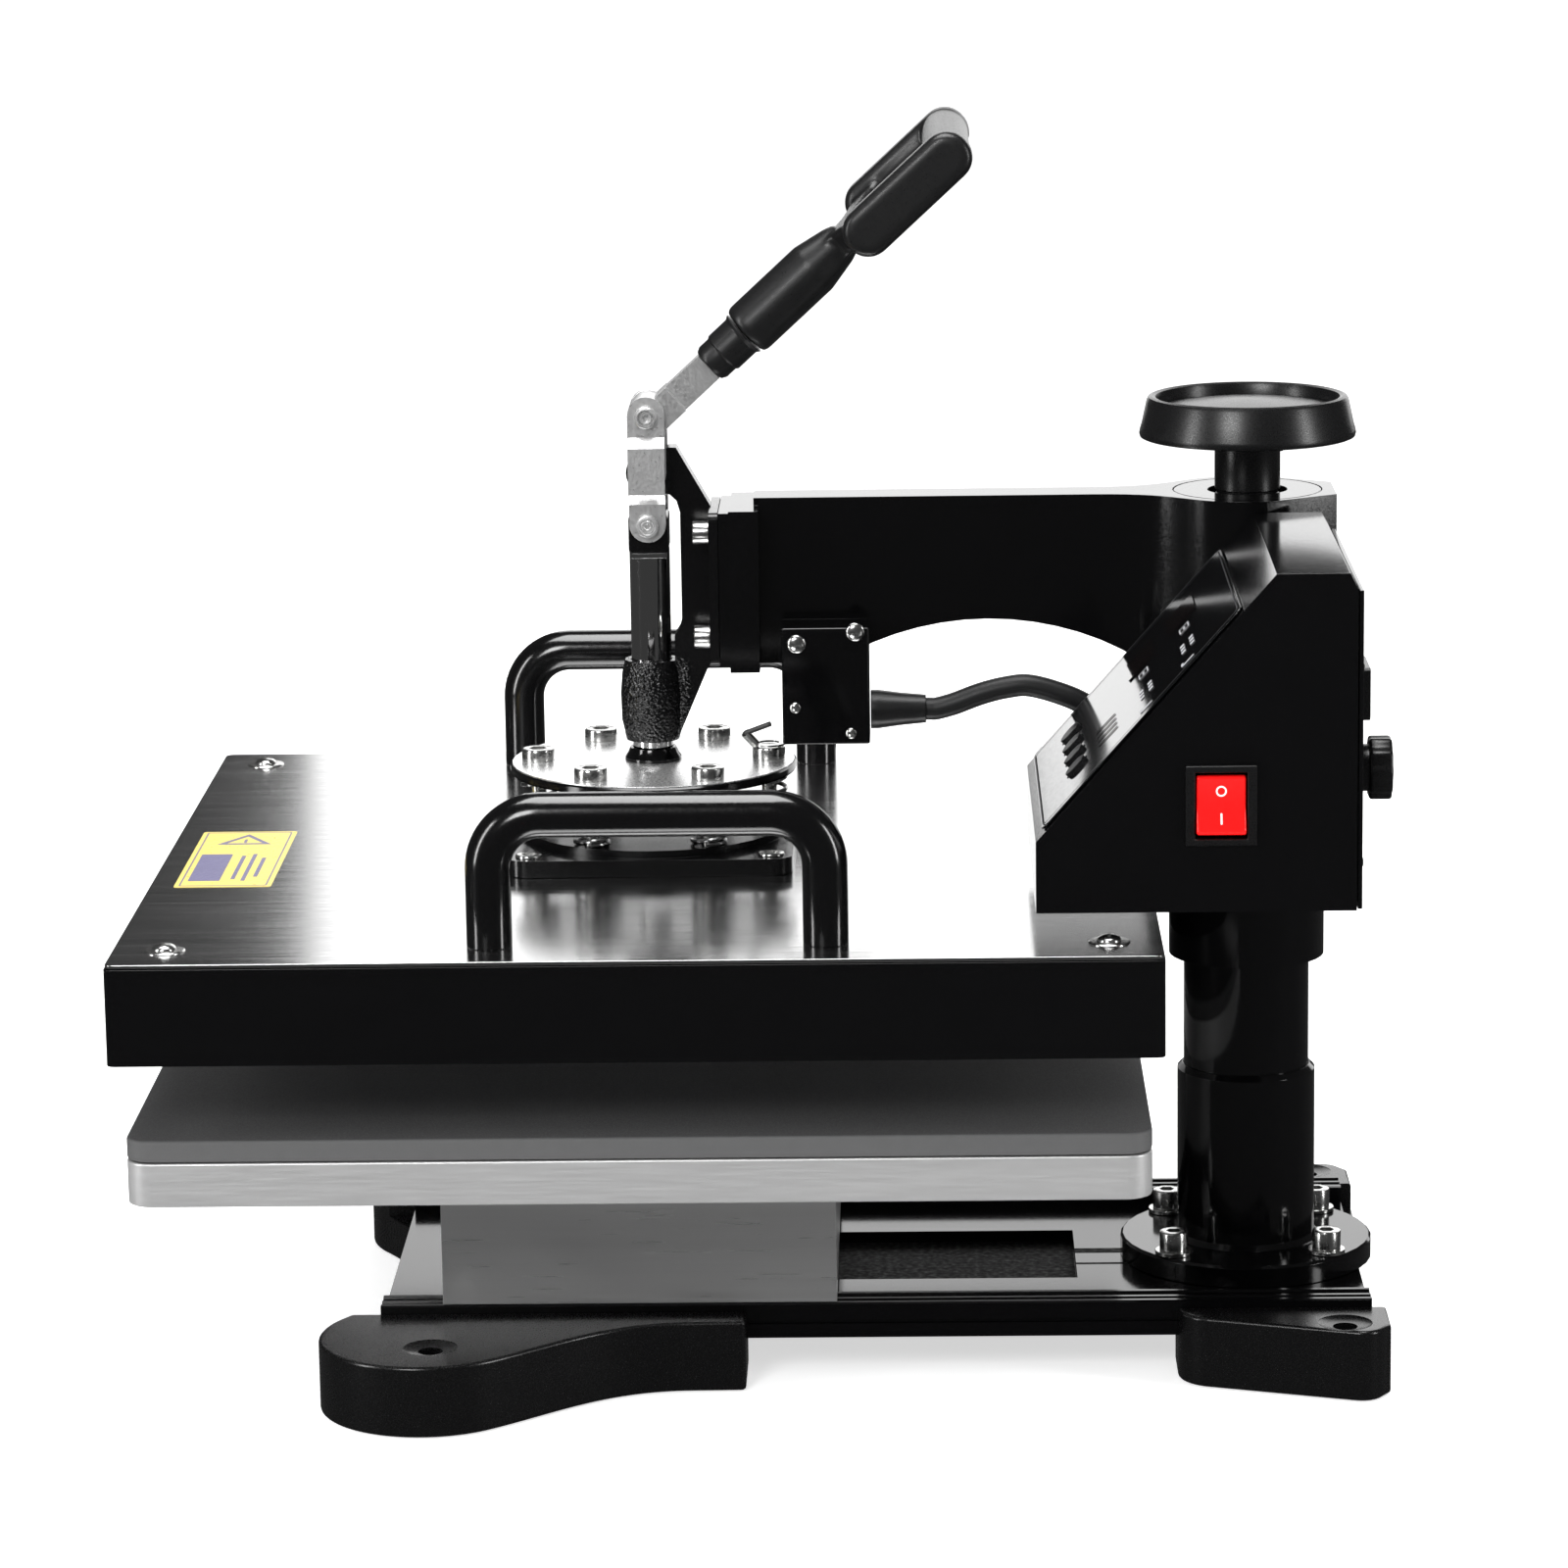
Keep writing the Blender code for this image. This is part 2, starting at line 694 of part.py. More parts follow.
def press_shaft(body):
    """A chromed rod with a shoulder on the disc, a groove, and a flat head for the link."""
    shoulder = DISC_TOP + GAP
    top = SHAFT_PIN.z - 0.010
    shaft = as_mesh(
        turned(
            "press_shaft",
            [
                (0, top),
                (SHAFT_R, top),
                (SHAFT_R, shoulder + 0.0055),
                (SHAFT_R - 0.0008, shoulder + 0.0055),
                (SHAFT_R - 0.0008, shoulder + 0.004),
                (SHAFT_R, shoulder + 0.004),
                (SHAFT_R, shoulder),
                (0.006, shoulder),
                (0.006, shoulder - 0.010),
                (0, shoulder - 0.010),
            ],
            (0, HEAD_Y, 0),
        )
    )
    crown = arc((HEAD_Y, SHAFT_PIN.z), 0.0070, 0, 180, 10)
    low = SHAFT_PIN.z - 0.0135
    outline = [(HEAD_Y + 0.0070, low), *crown, (HEAD_Y - 0.0070, low)]
    join(shaft, plate("shaft_head", outline, -0.009, 0.009, SIDE_VIEW))
    finish(shaft, CHROME, body)


def side_grip(name, side, body):
    """A bent tube that stands on the cover."""
    corner, half = 0.020, GRIP_LENGTH / 2
    front, rear = GRIP_Y[side] - half, GRIP_Y[side] + half
    foot_z = SHEET_TOP + GAP
    bends = arc((front + corner, GRIP_TOP - corner), corner, 180, 90, 6)
    bends += arc((rear - corner, GRIP_TOP - corner), corner, 90, 0, 6)
    route = [(front, foot_z), *bends, (rear, foot_z)]
    finish(tube(name, [(side * GRIP_X, y, z) for y, z in route], GRIP_TUBE_R, 4), BLACK_PAINT, body)


# Head bracket, with the lever's pivot and the shaft's guide

def head_bracket(body):
    def at(y, z):
        return HEAD_Y + y, z

    boss = arc((PIVOT.y, PIVOT.z), BOSS_R, 75, 295, 14)
    web = [
        *boss,
        at(0.0086, 0.3380),
        at(0.0112, 0.3355),
        at(0.0125, 0.3310),
        at(0.0125, 0.2880),
        at(0.0115, 0.2845),
        at(0.0095, 0.2815),
        at(0.0095, 0.2700),
        at(0.0030, 0.2700),
        at(0.0030, 0.2405),
        at(0.0104, 0.2405),
        at(0.0222, 0.2678),
        at(0.0250, 0.2725),
        at(0.0250, 0.3325),
        at(0.0113, 0.3567),
        at(0.0086, 0.3567),
    ]
    bracket = plate("head_bracket", web, -WEB_HALF_X, WEB_HALF_X, SIDE_VIEW)
    outline = rounded(FRONT_PLATE_HALF_X, 0.0305, 0.003, (0, 0.3025), 3)
    flange = plate("bracket_flange", outline, -HEAD_Y - 0.0277, -HEAD_Y - 0.0242, FRONT_VIEW)
    guide = turned(
        "bracket_guide",
        [
            (0, 0.2716),
            (0.0105, 0.2716),
            (0.0118, 0.2665),
            (0.0125, 0.2580),
            (0.0122, 0.2470),
            (0.0105, 0.2394),
            (0, 0.2389),
        ],
        (0, HEAD_Y, 0),
    )
    boss_side = rod("bracket_boss", PIVOT - Vector((0.006, 0, 0)), PIVOT + Vector((0.006, 0, 0)), BOSS_R, 32)
    join(bracket, flange, guide, boss_side)
    cut(
        bracket,
        rod("guide_bore", (0, HEAD_Y, 0.23), (0, HEAD_Y, 0.29), SHAFT_CLEAR_R, 32),
        rod("pivot_bore", PIVOT - Vector((0.02, 0, 0)), PIVOT + Vector((0.02, 0, 0)), PIN_CLEAR_R, 16),
    )
    finish(bracket, BLACK_CAST, body)
    finish(headed_pin("lever_pivot_pin", PIVOT, 0.0050, FORK_OUT_X + GAP, 0.0120), ZINC, body)


def headed_pin(name, place, head_r, head_start, head_end):
    """A pin along X with a flat head at each end."""
    profile = [
        (0, head_end),
        (head_r, head_end),
        (head_r, head_start),
        (PIN_R, head_start),
        (PIN_R, -head_start),
        (head_r, -head_start),
        (head_r, -head_end),
        (0, -head_end),
    ]
    return turned(name, profile, place, (1, 0, 0), 20)


# Lever, link

def along_lever(distance, rise=0.0):
    """(y, z) at a distance up the lever from the crank pin, and a rise square to it."""
    c, s = cos(LEVER_ANGLE), sin(LEVER_ANGLE)
    return CRANK_PIN.y + distance * c - rise * s, CRANK_PIN.z + distance * s + rise * c


def lever(body):
    """A flat bar, forked over the bracket's boss at its lower end."""
    half = 0.0075
    bar_end = 0.0307
    top, bottom = LEVER_HALF - LEVER_DROP, -LEVER_HALF - LEVER_DROP
    shoulder = degrees(LEVER_ANGLE + asin(top / half))
    outline = [
        *arc((PIVOT.y, PIVOT.z), half, 180, 360, 10),
        along_lever(0.0017, bottom),
        along_lever(bar_end, bottom),
        along_lever(bar_end, top),
        *arc((CRANK_PIN.y, CRANK_PIN.z), half, shoulder, 180, 7),
    ]
    bar = plate("lever_bar", outline, -FORK_OUT_X, FORK_OUT_X, SIDE_VIEW)
    slot = plate("fork_slot", ring((PIVOT.y, PIVOT.z), 0.0172, 40), -FORK_IN_X, FORK_IN_X, SIDE_VIEW)
    cut(
        bar,
        slot,
        rod("bar_pivot", PIVOT - Vector((0.02, 0, 0)), PIVOT + Vector((0.02, 0, 0)), PIN_CLEAR_R, 16),
        rod("bar_crank", CRANK_PIN - Vector((0.02, 0, 0)), CRANK_PIN + Vector((0.02, 0, 0)), PIN_CLEAR_R, 16),
    )
    for side in (-1, 1):
        corners = ((0.013, -0.02), (0.05, -0.02), (0.05, 0.02), (0.013, 0.02))
        flank = [along_lever(*corner) for corner in corners]
        low, high = sorted((side * 0.0045, side * 0.02))
        cut(bar, plate(f"bar_flank_{side + 1}", flank, low, high, SIDE_VIEW))
    tang = [(0, *along_lever(distance, -LEVER_DROP)) for distance in (0.028, 0.0440)]
    join(bar, rod("bar_tang", *tang, 0.0044, 20))
    finish(bar, ZINC, body)

    start = Vector((0, *along_lever(0, -LEVER_DROP)))
    axis = (0, cos(LEVER_ANGLE), sin(LEVER_ANGLE))
    finish(
        turned(
            "lever_collar",
            [
                (0.0047, 0.0496),
                (0.0098, 0.0496),
                (0.0087, 0.0480),
                (0.0087, 0.0385),
                (0.0080, 0.0378),
                (0.0080, 0.0330),
                (0.0070, 0.0310),
                (0.0047, 0.0310),
            ],
            start,
            axis,
            24,
        ),
        BLACK_PLASTIC,
        body,
    )

    # The handle: a round stem, and a loop in the plane of X and the lever
    loop_view = Matrix.Translation(start) @ Matrix(
        (
            (1, 0, 0, 0),
            (0, cos(LEVER_ANGLE), -sin(LEVER_ANGLE), 0),
            (0, sin(LEVER_ANGLE), cos(LEVER_ANGLE), 0),
            (0, 0, 0, 1),
        )
    )
    side_of_loop = [(0.0075, 0.0960), (0.0110, 0.1030), (LOOP_X - 0.0060, 0.1110), (LOOP_X + 0.0040, 0.1190)]
    tip_corner = arc((LOOP_X - 0.0040, 0.1560), 0.0080, 0, 90, 4)
    right = side_of_loop + tip_corner
    inner = rounded(LOOP_X - 0.0085, 0.0150, 0.006, (0, 0.1345), 4)
    handle = plate("lever_handle", right + mirrored(right), -0.0055, 0.0055, loop_view, holes=[inner])
    stem = turned(
        "handle_stem",
        [
            (0, 0.1000),
            (0.0085, 0.0990),
            (0.0090, 0.0940),
            (0.0110, 0.0880),
            (0.0110, 0.0520),
            (0.0100, 0.0500),
            (0, 0.0500),
        ],
        start,
        axis,
        24,
    )
    join(handle, stem)
    pad_view = Matrix.Translation(start) @ Matrix(
        (
            (0, 0, 1, 0),
            (cos(LEVER_ANGLE), -sin(LEVER_ANGLE), 0, 0),
            (sin(LEVER_ANGLE), cos(LEVER_ANGLE), 0, 0),
            (0, 0, 0, 1),
        )
    )
    grip = [(x, *along_lever(0.1576, -LEVER_DROP)) for x in (-LOOP_X, LOOP_X)]
    join(handle, rod("handle_bar", *grip, 0.0090, 24))
    for side in (-1, 1):
        outline = rounded(0.0302, 0.00975, 0.0092, (0.1372, 0), 5)
        low, high = sorted((side * (LOOP_X - 0.0070), side * (LOOP_X + 0.0070)))
        join(handle, plate(f"handle_pad_{side + 1}", outline, low, high, pad_view))
    finish(handle, BLACK_RUBBER, body)


def link(body):
    """Two bowed plates, one at each side of the lever and of the shaft's head."""
    top, bottom = CRANK_PIN.z + 0.0080, SHAFT_PIN.z - 0.0066
    bow = [  # height of each bend, and how far out the plate is there
        (top, 0),
        (CRANK_PIN.z - 0.0080, 0),
        (CRANK_PIN.z - 0.0118, BOW_OFFSET),
        (CRANK_PIN.z - 0.0302, BOW_OFFSET),
        (CRANK_PIN.z - 0.0345, 0),
        (bottom, 0),
    ]
    for name, side in (("link_plate_left", -1), ("link_plate_right", 1)):
        profile = [(side * (LUG_OUT_X + out), z) for z, out in bow]
        profile += [(side * (LUG_IN_X + out), z) for z, out in reversed(bow)]
        link_plate = plate(name, profile, -HEAD_Y - 0.0072, -HEAD_Y + 0.0072, FRONT_VIEW)
        middle = ((top + bottom) / 2, (top - bottom) / 2)
        face = rounded(0.0072, middle[1], 0.0070, (HEAD_Y, middle[0]), 6)
        low, high = sorted((side * 0.005, side * 0.025))
        combine(link_plate, plate("face_" + name, face, low, high, SIDE_VIEW), "INTERSECT")
        hole = [CRANK_PIN + Vector((side * x, 0, 0)) for x in (0.005, 0.025)]
        cut(link_plate, rod("hole_" + name, *hole, PIN_CLEAR_R, 16))
        head = [SHAFT_PIN + Vector((side * x, 0, 0)) for x in (LUG_OUT_X - 0.001, 0.0148)]
        join(link_plate, rod("head_" + name, *head, 0.0043, 20))
        finish(link_plate, ZINC, body)
    finish(headed_pin("link_pin", CRANK_PIN, 0.0043, LUG_OUT_X + GAP, 0.0150), ZINC, body)


# Swing arm

def arm_plan():
    """The arm seen from above: a bar that flares into the hub, whose rear is faceted."""
    flare_start, flare_end = COLUMN_Y - 0.062, COLUMN_Y - 0.022
    hub_x = sqrt(HUB_R**2 - 0.022**2)
    flare = bend(
        (ARM_HALF_X, flare_start),
        (ARM_HALF_X, flare_start + 0.022),
        (hub_x - 0.010, flare_end - 0.012),
        (hub_x, flare_end),
        8,
    )
    start = degrees(atan2(-0.022, hub_x))
    hub = arc((0, COLUMN_Y), HUB_R, start, 10, 5)[1:]
    bar = [(ARM_HALF_X, FRONT_BLOCK_REAR - 0.002), (ARM_HALF_X, flare_start)]
    right = [*bar, *flare, *hub, (0.016, COLUMN_Y + HUB_R)]
    return right + mirrored(right)


def swing_arm(body):
    arm = plate("swing_arm", arm_plan(), ARM_BOTTOM, ARM_TOP)
    arch_middle = ARCH_TOP - ARCH_R
    cut(arm, rod("arch", (-0.06, ARCH_Y, arch_middle), (0.06, ARCH_Y, arch_middle), ARCH_R, 80))
    block = box(
        "front_block",
        (-FRONT_BLOCK_HALF_X, FRONT_BLOCK_FRONT, 0.270),
        (FRONT_BLOCK_HALF_X, FRONT_BLOCK_REAR, FRONT_BLOCK_TOP),
    )
    front_plate = box(
        "front_plate",
        (-FRONT_PLATE_HALF_X, ARM_FRONT, 0.272),
        (FRONT_PLATE_HALF_X, FRONT_BLOCK_FRONT + 0.001, 0.333),
    )
    hub_tube = rod(
        "hub_tube", (0, COLUMN_Y, HUB_TUBE_BOTTOM), (0, COLUMN_Y, ARM_TOP - 0.004), HUB_TUBE_R, 36
    )
    join(arm, block, front_plate, hub_tube)
    cut(
        arm,
        rod("hub_bore", (0, COLUMN_Y, 0.14), (0, COLUMN_Y, HUB_BORE_TOP), HUB_BORE_R, 36),
        rod("cap_recess", (0, COLUMN_Y, CAP_BOTTOM - GAP), (0, COLUMN_Y, 0.35), CAP_R + GAP, 36),
        rod("neck_hole", (0, COLUMN_Y, 0.31), (0, COLUMN_Y, 0.35), NECK_HOLE_R, 32),
    )
    finish(arm, BLACK_PAINT, body)
    finish(
        turned(
            "hub_cap",
            [
                (NECK_HOLE_R, ARM_TOP),
                (CAP_R - 0.0004, ARM_TOP),
                (CAP_R, ARM_TOP - 0.0004),
                (CAP_R, CAP_BOTTOM),
                (NECK_HOLE_R, CAP_BOTTOM),
            ],
            (0, COLUMN_Y, 0),
            segments=36,
        ),
        BLACK_PAINT,
        body,
    )


# Pressure screw

def pressure_screw(lift_body, knob_body):
    collar_top = HUB_BORE_TOP - GAP
    finish(
        turned(
            "thrust_collar",
            [
                (LIFT_SCREW_R + GAP, collar_top),
                (THRUST_R, collar_top),
                (THRUST_R, collar_top - 0.006),
                (LIFT_SCREW_R + GAP, collar_top - 0.006),
            ],
            (0, COLUMN_Y, 0),
        ),
        ZINC,
        lift_body,
    )
    screw_top = KNOB_RIM_BOTTOM - 0.006
    finish(
        turned(
            "lift_screw",
            [(0, screw_top), (LIFT_SCREW_R, screw_top), (LIFT_SCREW_R, 0.262), (0.006, 0.259), (0, 0.259)],
            (0, COLUMN_Y, 0),
        ),
        ZINC,
        knob_body,
    )
    neck_bottom = CAP_BOTTOM + 0.002
    bore = screw_top + GAP
    finish(
        turned(
            "pressure_knob",
            [
                (0, KNOB_TOP - 0.0005),
                (0.0335, KNOB_TOP - 0.0040),
                (0.0345, KNOB_TOP - 0.0010),
                (0.0370, KNOB_TOP),
                (0.0392, KNOB_TOP - 0.0012),
                (KNOB_R, KNOB_RIM_BOTTOM + 0.0030),
                (KNOB_R - 0.0012, KNOB_RIM_BOTTOM),
                (NECK_R + 0.001, KNOB_RIM_BOTTOM - 0.0005),
                (NECK_R, KNOB_RIM_BOTTOM - 0.002),
                (NECK_R, neck_bottom + 0.0055),
                (NECK_R - 0.0009, neck_bottom + 0.0045),
                (NECK_R, neck_bottom + 0.0035),
                (NECK_R, neck_bottom),
                (LIFT_SCREW_R + GAP, neck_bottom),
                (LIFT_SCREW_R + GAP, bore),
                (0, bore),
            ],
            (0, COLUMN_Y, 0),
            segments=36,
        ),
        BLACK_PLASTIC,
        knob_body,
    )


# Control box

SLOPE_DIR = Vector((0, BOX_SLOPE_TOP_Y - BOX_FRONT, BOX_TOP - BOX_NOSE_TOP)).normalized()
SLOPE_NORMAL = Vector((0, -SLOPE_DIR.z, SLOPE_DIR.y))
SLOPE_START = Vector((0, BOX_FRONT, BOX_NOSE_TOP))
BOX_MIDDLE_X = (BOX_X0 + BOX_X1) / 2
KEY_COUNT = 4
KEY_PITCH = 0.021
KEY_R = 0.0050
KEY_HOLE_R = 0.0055
KEY_DISTANCE = 0.026  # up the slope


def on_slope(x, distance, height):
    """A point on the sloping panel: x, the way up the slope, and the height off it."""
    return Vector((x, 0, 0)) + SLOPE_START + SLOPE_DIR * distance + SLOPE_NORMAL * height


def slope_slab(name, half_x, low, high, bottom, top):
    """A slab parallel to the sloping panel."""
    frame = Matrix.Identity(4)
    frame.col[0][:3] = (1, 0, 0)
    frame.col[1][:3] = SLOPE_DIR
    frame.col[2][:3] = SLOPE_NORMAL
    frame.translation = SLOPE_START + Vector((BOX_MIDDLE_X, 0, 0))
    outline = rounded(half_x, (high - low) / 2, 0.003, (0, (low + high) / 2), 3)
    return plate(name, outline, bottom, top, frame)


def key_x(index):
    return BOX_MIDDLE_X + (index - (KEY_COUNT - 1) / 2) * KEY_PITCH


def key_rod(name, index, low, high, radius):
    ends = (on_slope(key_x(index), KEY_DISTANCE, height) for height in (low, high))
    return rod(name, *ends, radius, 16)


def control_box(body, rocker_body, key_bodies):
    profile = [
        (BOX_FRONT, BOX_BOTTOM),
        (BOX_REAR - BOX_WALL, BOX_BOTTOM),
        (BOX_REAR - BOX_WALL, BOX_TOP - 0.0060),
        (BOX_REAR - 0.0050, BOX_TOP),
        (BOX_SLOPE_TOP_Y, BOX_TOP),
        (BOX_FRONT, BOX_NOSE_TOP),
    ]
    shell = plate("control_box_shell", profile, BOX_X0, BOX_X1, SIDE_VIEW)
    open_side(shell, (0, 1, 0), BOX_WALL)
    cut(
        shell,
        box(
            "rocker_opening",
            (BOX_X1 - 0.01, ROCKER_Y - 0.0112, ROCKER_Z - 0.0134),
            (BOX_X1 + 0.01, ROCKER_Y + 0.0112, ROCKER_Z + 0.0134),
        ),
    )
    for index in range(KEY_COUNT):
        cut(shell, key_rod(f"key_opening_{index}", index, -0.01, 0.01, KEY_HOLE_R))
    finish(shell, BLACK_PAINT, body)

    inner_x = BOX_X0 + 0.0005, BOX_X1 - 0.0005
    back = plate(
        "control_box_back",
        [
            (inner_x[0], BOX_BOTTOM + 0.0005),
            (inner_x[1], BOX_BOTTOM + 0.0005),
            (inner_x[1], BOX_TOP - 0.0065),
            (inner_x[0], BOX_TOP - 0.0065),
        ],
        -BOX_REAR,
        -BOX_REAR + BOX_WALL - GAP,
        FRONT_VIEW,
        holes=[rounded(0.0140, 0.0103, 0.001, (INLET_X, INLET_Z), 1), ring((INLET_X, FUSE_Z), 0.0063, 20)],
    )
    finish(back, BLACK_PAINT, body)

    overlay = slope_slab("control_panel", 0.0668, 0.0045, 0.1145, GAP, 0.0011)
    for index in range(KEY_COUNT):
        cut(overlay, key_rod(f"panel_opening_{index}", index, -0.01, 0.01, KEY_HOLE_R))
    finish(overlay, BLACK_PLASTIC, body)
    finish(slope_slab("controller_board", 0.055, 0.012, 0.105, -0.0156, -0.014), BOARD_GREEN, body)

    for index, key_body in enumerate(key_bodies):
        key = key_rod(f"panel_key_{index + 1}", index, -0.0045, 0.0026, KEY_R)
        finish(key, BLACK_PLASTIC, key_body)

    rocker_switch(body, rocker_body)
    rear_fittings(body)


def rocker_switch(body, rocker_body):
    """A bezel whose sleeve passes through the side of the box, and the rocker in it."""
    face = BOX_X1 + GAP

    def block(name, start, end, half_y, half_z):
        low = (face + start, ROCKER_Y - half_y, ROCKER_Z - half_z)
        return box(name, low, (face + end, ROCKER_Y + half_y, ROCKER_Z + half_z))

    bezel = block("rocker_bezel", 0, 0.0020, 0.0131, 0.0150)
    sleeve = block("bezel_sleeve", -0.018, 0.001, 0.0109, 0.0131)
    opening = block("bezel_opening", -0.016, 0.020, 0.0096, 0.0124)
    join(bezel, sleeve)
    cut(bezel, opening)
    finish(bezel, BLACK_PLASTIC, body)

    # Seen along Y, the rocker is a shallow V that lies with its upper half pressed in
    tilt = radians(8)
    half, rise, depth = 0.0112, 0.0036, 0.0085
    upper = [(rise, half - 0.001), (rise - 0.0012, half), (-depth, half * 0.8)]
    lower = [(x, -z) for x, z in reversed(upper)]
    shape = [*lower, (rise - 0.0016, 0), *upper]
    centre = Vector((face - 0.0010, 0, ROCKER_Z))
    outline = [
        (centre.x + x * cos(tilt) - z * sin(tilt), centre.z + x * sin(tilt) + z * cos(tilt)) for x, z in shape
    ]
    rocker = plate("power_rocker", outline, -ROCKER_Y - 0.0091, -ROCKER_Y + 0.0091, FRONT_VIEW)
    finish(rocker, RED_PLASTIC, rocker_body)


def rear_fittings(body):
    """The mains inlet and the fuse holder, in the back plate."""
    face = BOX_REAR + GAP
    flange = rounded(0.0240, 0.0135, 0.004, (INLET_X, INLET_Z), 3)
    inlet = plate("power_inlet", flange, -face - 0.0032, -face, FRONT_VIEW)
    core = rounded(0.0137, 0.0100, 0.001, (INLET_X, INLET_Z), 1)
    join(inlet, plate("inlet_core", core, -face - 0.0070, -face + 0.0180, FRONT_VIEW))
    cavity = rounded(0.0115, 0.0078, 0.0025, (INLET_X, INLET_Z), 2)
    cut(inlet, plate("inlet_cavity", cavity, -face - 0.0080, -face + 0.0140, FRONT_VIEW))
    finish(inlet, BLACK_PLASTIC, body)
    finish(
        turned(
            "fuse_cap",
            [
                (0, 0.0160),
                (0.0100, 0.0160),
                (0.0122, 0.0140),
                (0.0122, 0.0075),
                (0.0090, 0.0070),
                (0.0090, 0),
                (0.0060, 0),
                (0.0060, -0.0200),
                (0, -0.0200),
            ],
            (INLET_X, face, FUSE_Z),
            (0, 1, 0),
            12,
        ),
        BLACK_PLASTIC,
        body,
    )


# Connector box and cable

def connector(body):
    finish(box("connector_box", CONNECTOR_LO, CONNECTOR_HI), BLACK_PAINT, body)
    start = Vector((CABLE_X, CONNECTOR_HI.y + GAP, CABLE_ROUTE[0][2] + 0.0001))
    length = HEAD_Y + CABLE_ROUTE[0][1] - GAP - start.y
    finish(
        turned(
            "strain_relief",
            [(0, length), (0.0056, length), (0.0065, length * 0.55), (0.0077, 0.003), (0.0077, 0), (0, 0)],
            start,
            (0, 1, 0),
            20,
        ),
        BLACK_RUBBER,
        body,
    )
    route = smooth_route([(x, HEAD_Y + y, z) for x, y, z in CABLE_ROUTE], 4)
    finish(tube("heater_cable", route, CABLE_R, 3), BLACK_RUBBER, body)


# Assembly

def build():
    lift = pivot("lift_axis", (0, COLUMN_Y, HUB_BORE_TOP))
    knob = pivot("knob_axis", (0, COLUMN_Y, KNOB_TOP), lift)
    arm = pivot("swing_axis", (0, COLUMN_Y, ARM_BOTTOM), lift)
    lever_axis = pivot("lever_axis", PIVOT, arm)
    link_axis = pivot("link_axis", CRANK_PIN, lever_axis)
    press = pivot("press_axis", SHAFT_PIN, arm)
    rocker = pivot("rocker_axis", (BOX_X1 + GAP - 0.0010, ROCKER_Y, ROCKER_Z), arm)
    keys = [pivot(f"key_axis_{i + 1}", on_slope(key_x(i), KEY_DISTANCE, 0), arm) for i in range(KEY_COUNT)]

    for label, side in (("left", -1), ("right", 1)):
        base_rail("base_rail_" + label, side)
        foot("foot_front_" + label, front_foot_outline(), (0.131, HEAD_Y - 0.084), side)
        foot("foot_rear_" + label, rear_foot_outline(), (0.108, HEAD_Y + 0.268), side)
    base_plate()
    column()
    lower_platen()

    pressure_screw(lift, knob)
    swing_arm(arm)
    head_bracket(arm)
    connector(arm)
    control_box(arm, rocker, keys)
    lever(lever_axis)
    link(link_axis)
    press_shaft(press)
    spring_mount(press)
    heat_platen(press)
    side_grip("side_grip_left", -1, press)
    side_grip("side_grip_right", 1, press)


build()
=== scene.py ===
"""The looks of a swing-away heat press: studio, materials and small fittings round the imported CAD."""

import json

from math import atan2, cos, pi, radians, sin

import bmesh
import bpy
from mathutils import Matrix, Vector


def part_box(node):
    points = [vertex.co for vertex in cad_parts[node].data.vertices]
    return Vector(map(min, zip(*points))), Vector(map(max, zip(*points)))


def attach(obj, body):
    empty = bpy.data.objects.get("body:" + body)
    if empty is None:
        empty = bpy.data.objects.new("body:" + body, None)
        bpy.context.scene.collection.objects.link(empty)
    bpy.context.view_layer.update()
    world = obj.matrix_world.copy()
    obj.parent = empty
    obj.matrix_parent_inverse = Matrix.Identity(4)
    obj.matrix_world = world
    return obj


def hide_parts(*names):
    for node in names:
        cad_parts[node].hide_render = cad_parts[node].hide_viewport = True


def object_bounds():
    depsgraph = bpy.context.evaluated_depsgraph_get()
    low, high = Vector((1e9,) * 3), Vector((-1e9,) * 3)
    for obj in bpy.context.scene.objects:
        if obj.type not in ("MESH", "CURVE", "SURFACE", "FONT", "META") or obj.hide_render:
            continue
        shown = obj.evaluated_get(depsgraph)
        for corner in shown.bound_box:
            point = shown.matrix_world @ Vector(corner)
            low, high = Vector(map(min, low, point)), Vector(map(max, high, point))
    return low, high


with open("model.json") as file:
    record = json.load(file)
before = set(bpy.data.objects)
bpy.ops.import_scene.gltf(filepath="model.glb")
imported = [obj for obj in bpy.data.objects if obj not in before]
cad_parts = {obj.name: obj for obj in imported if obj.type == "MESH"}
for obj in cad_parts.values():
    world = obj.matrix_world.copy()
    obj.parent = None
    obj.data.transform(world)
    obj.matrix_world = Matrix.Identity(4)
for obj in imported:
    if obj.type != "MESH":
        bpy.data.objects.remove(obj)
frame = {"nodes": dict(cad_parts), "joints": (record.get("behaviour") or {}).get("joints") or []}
cad_bounds = [list(corner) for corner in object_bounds()]
nodes = frame["nodes"]
joints = {joint["name"]: joint for joint in frame["joints"]}


def centre(node):
    low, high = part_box(node)
    return (low + high) / 2


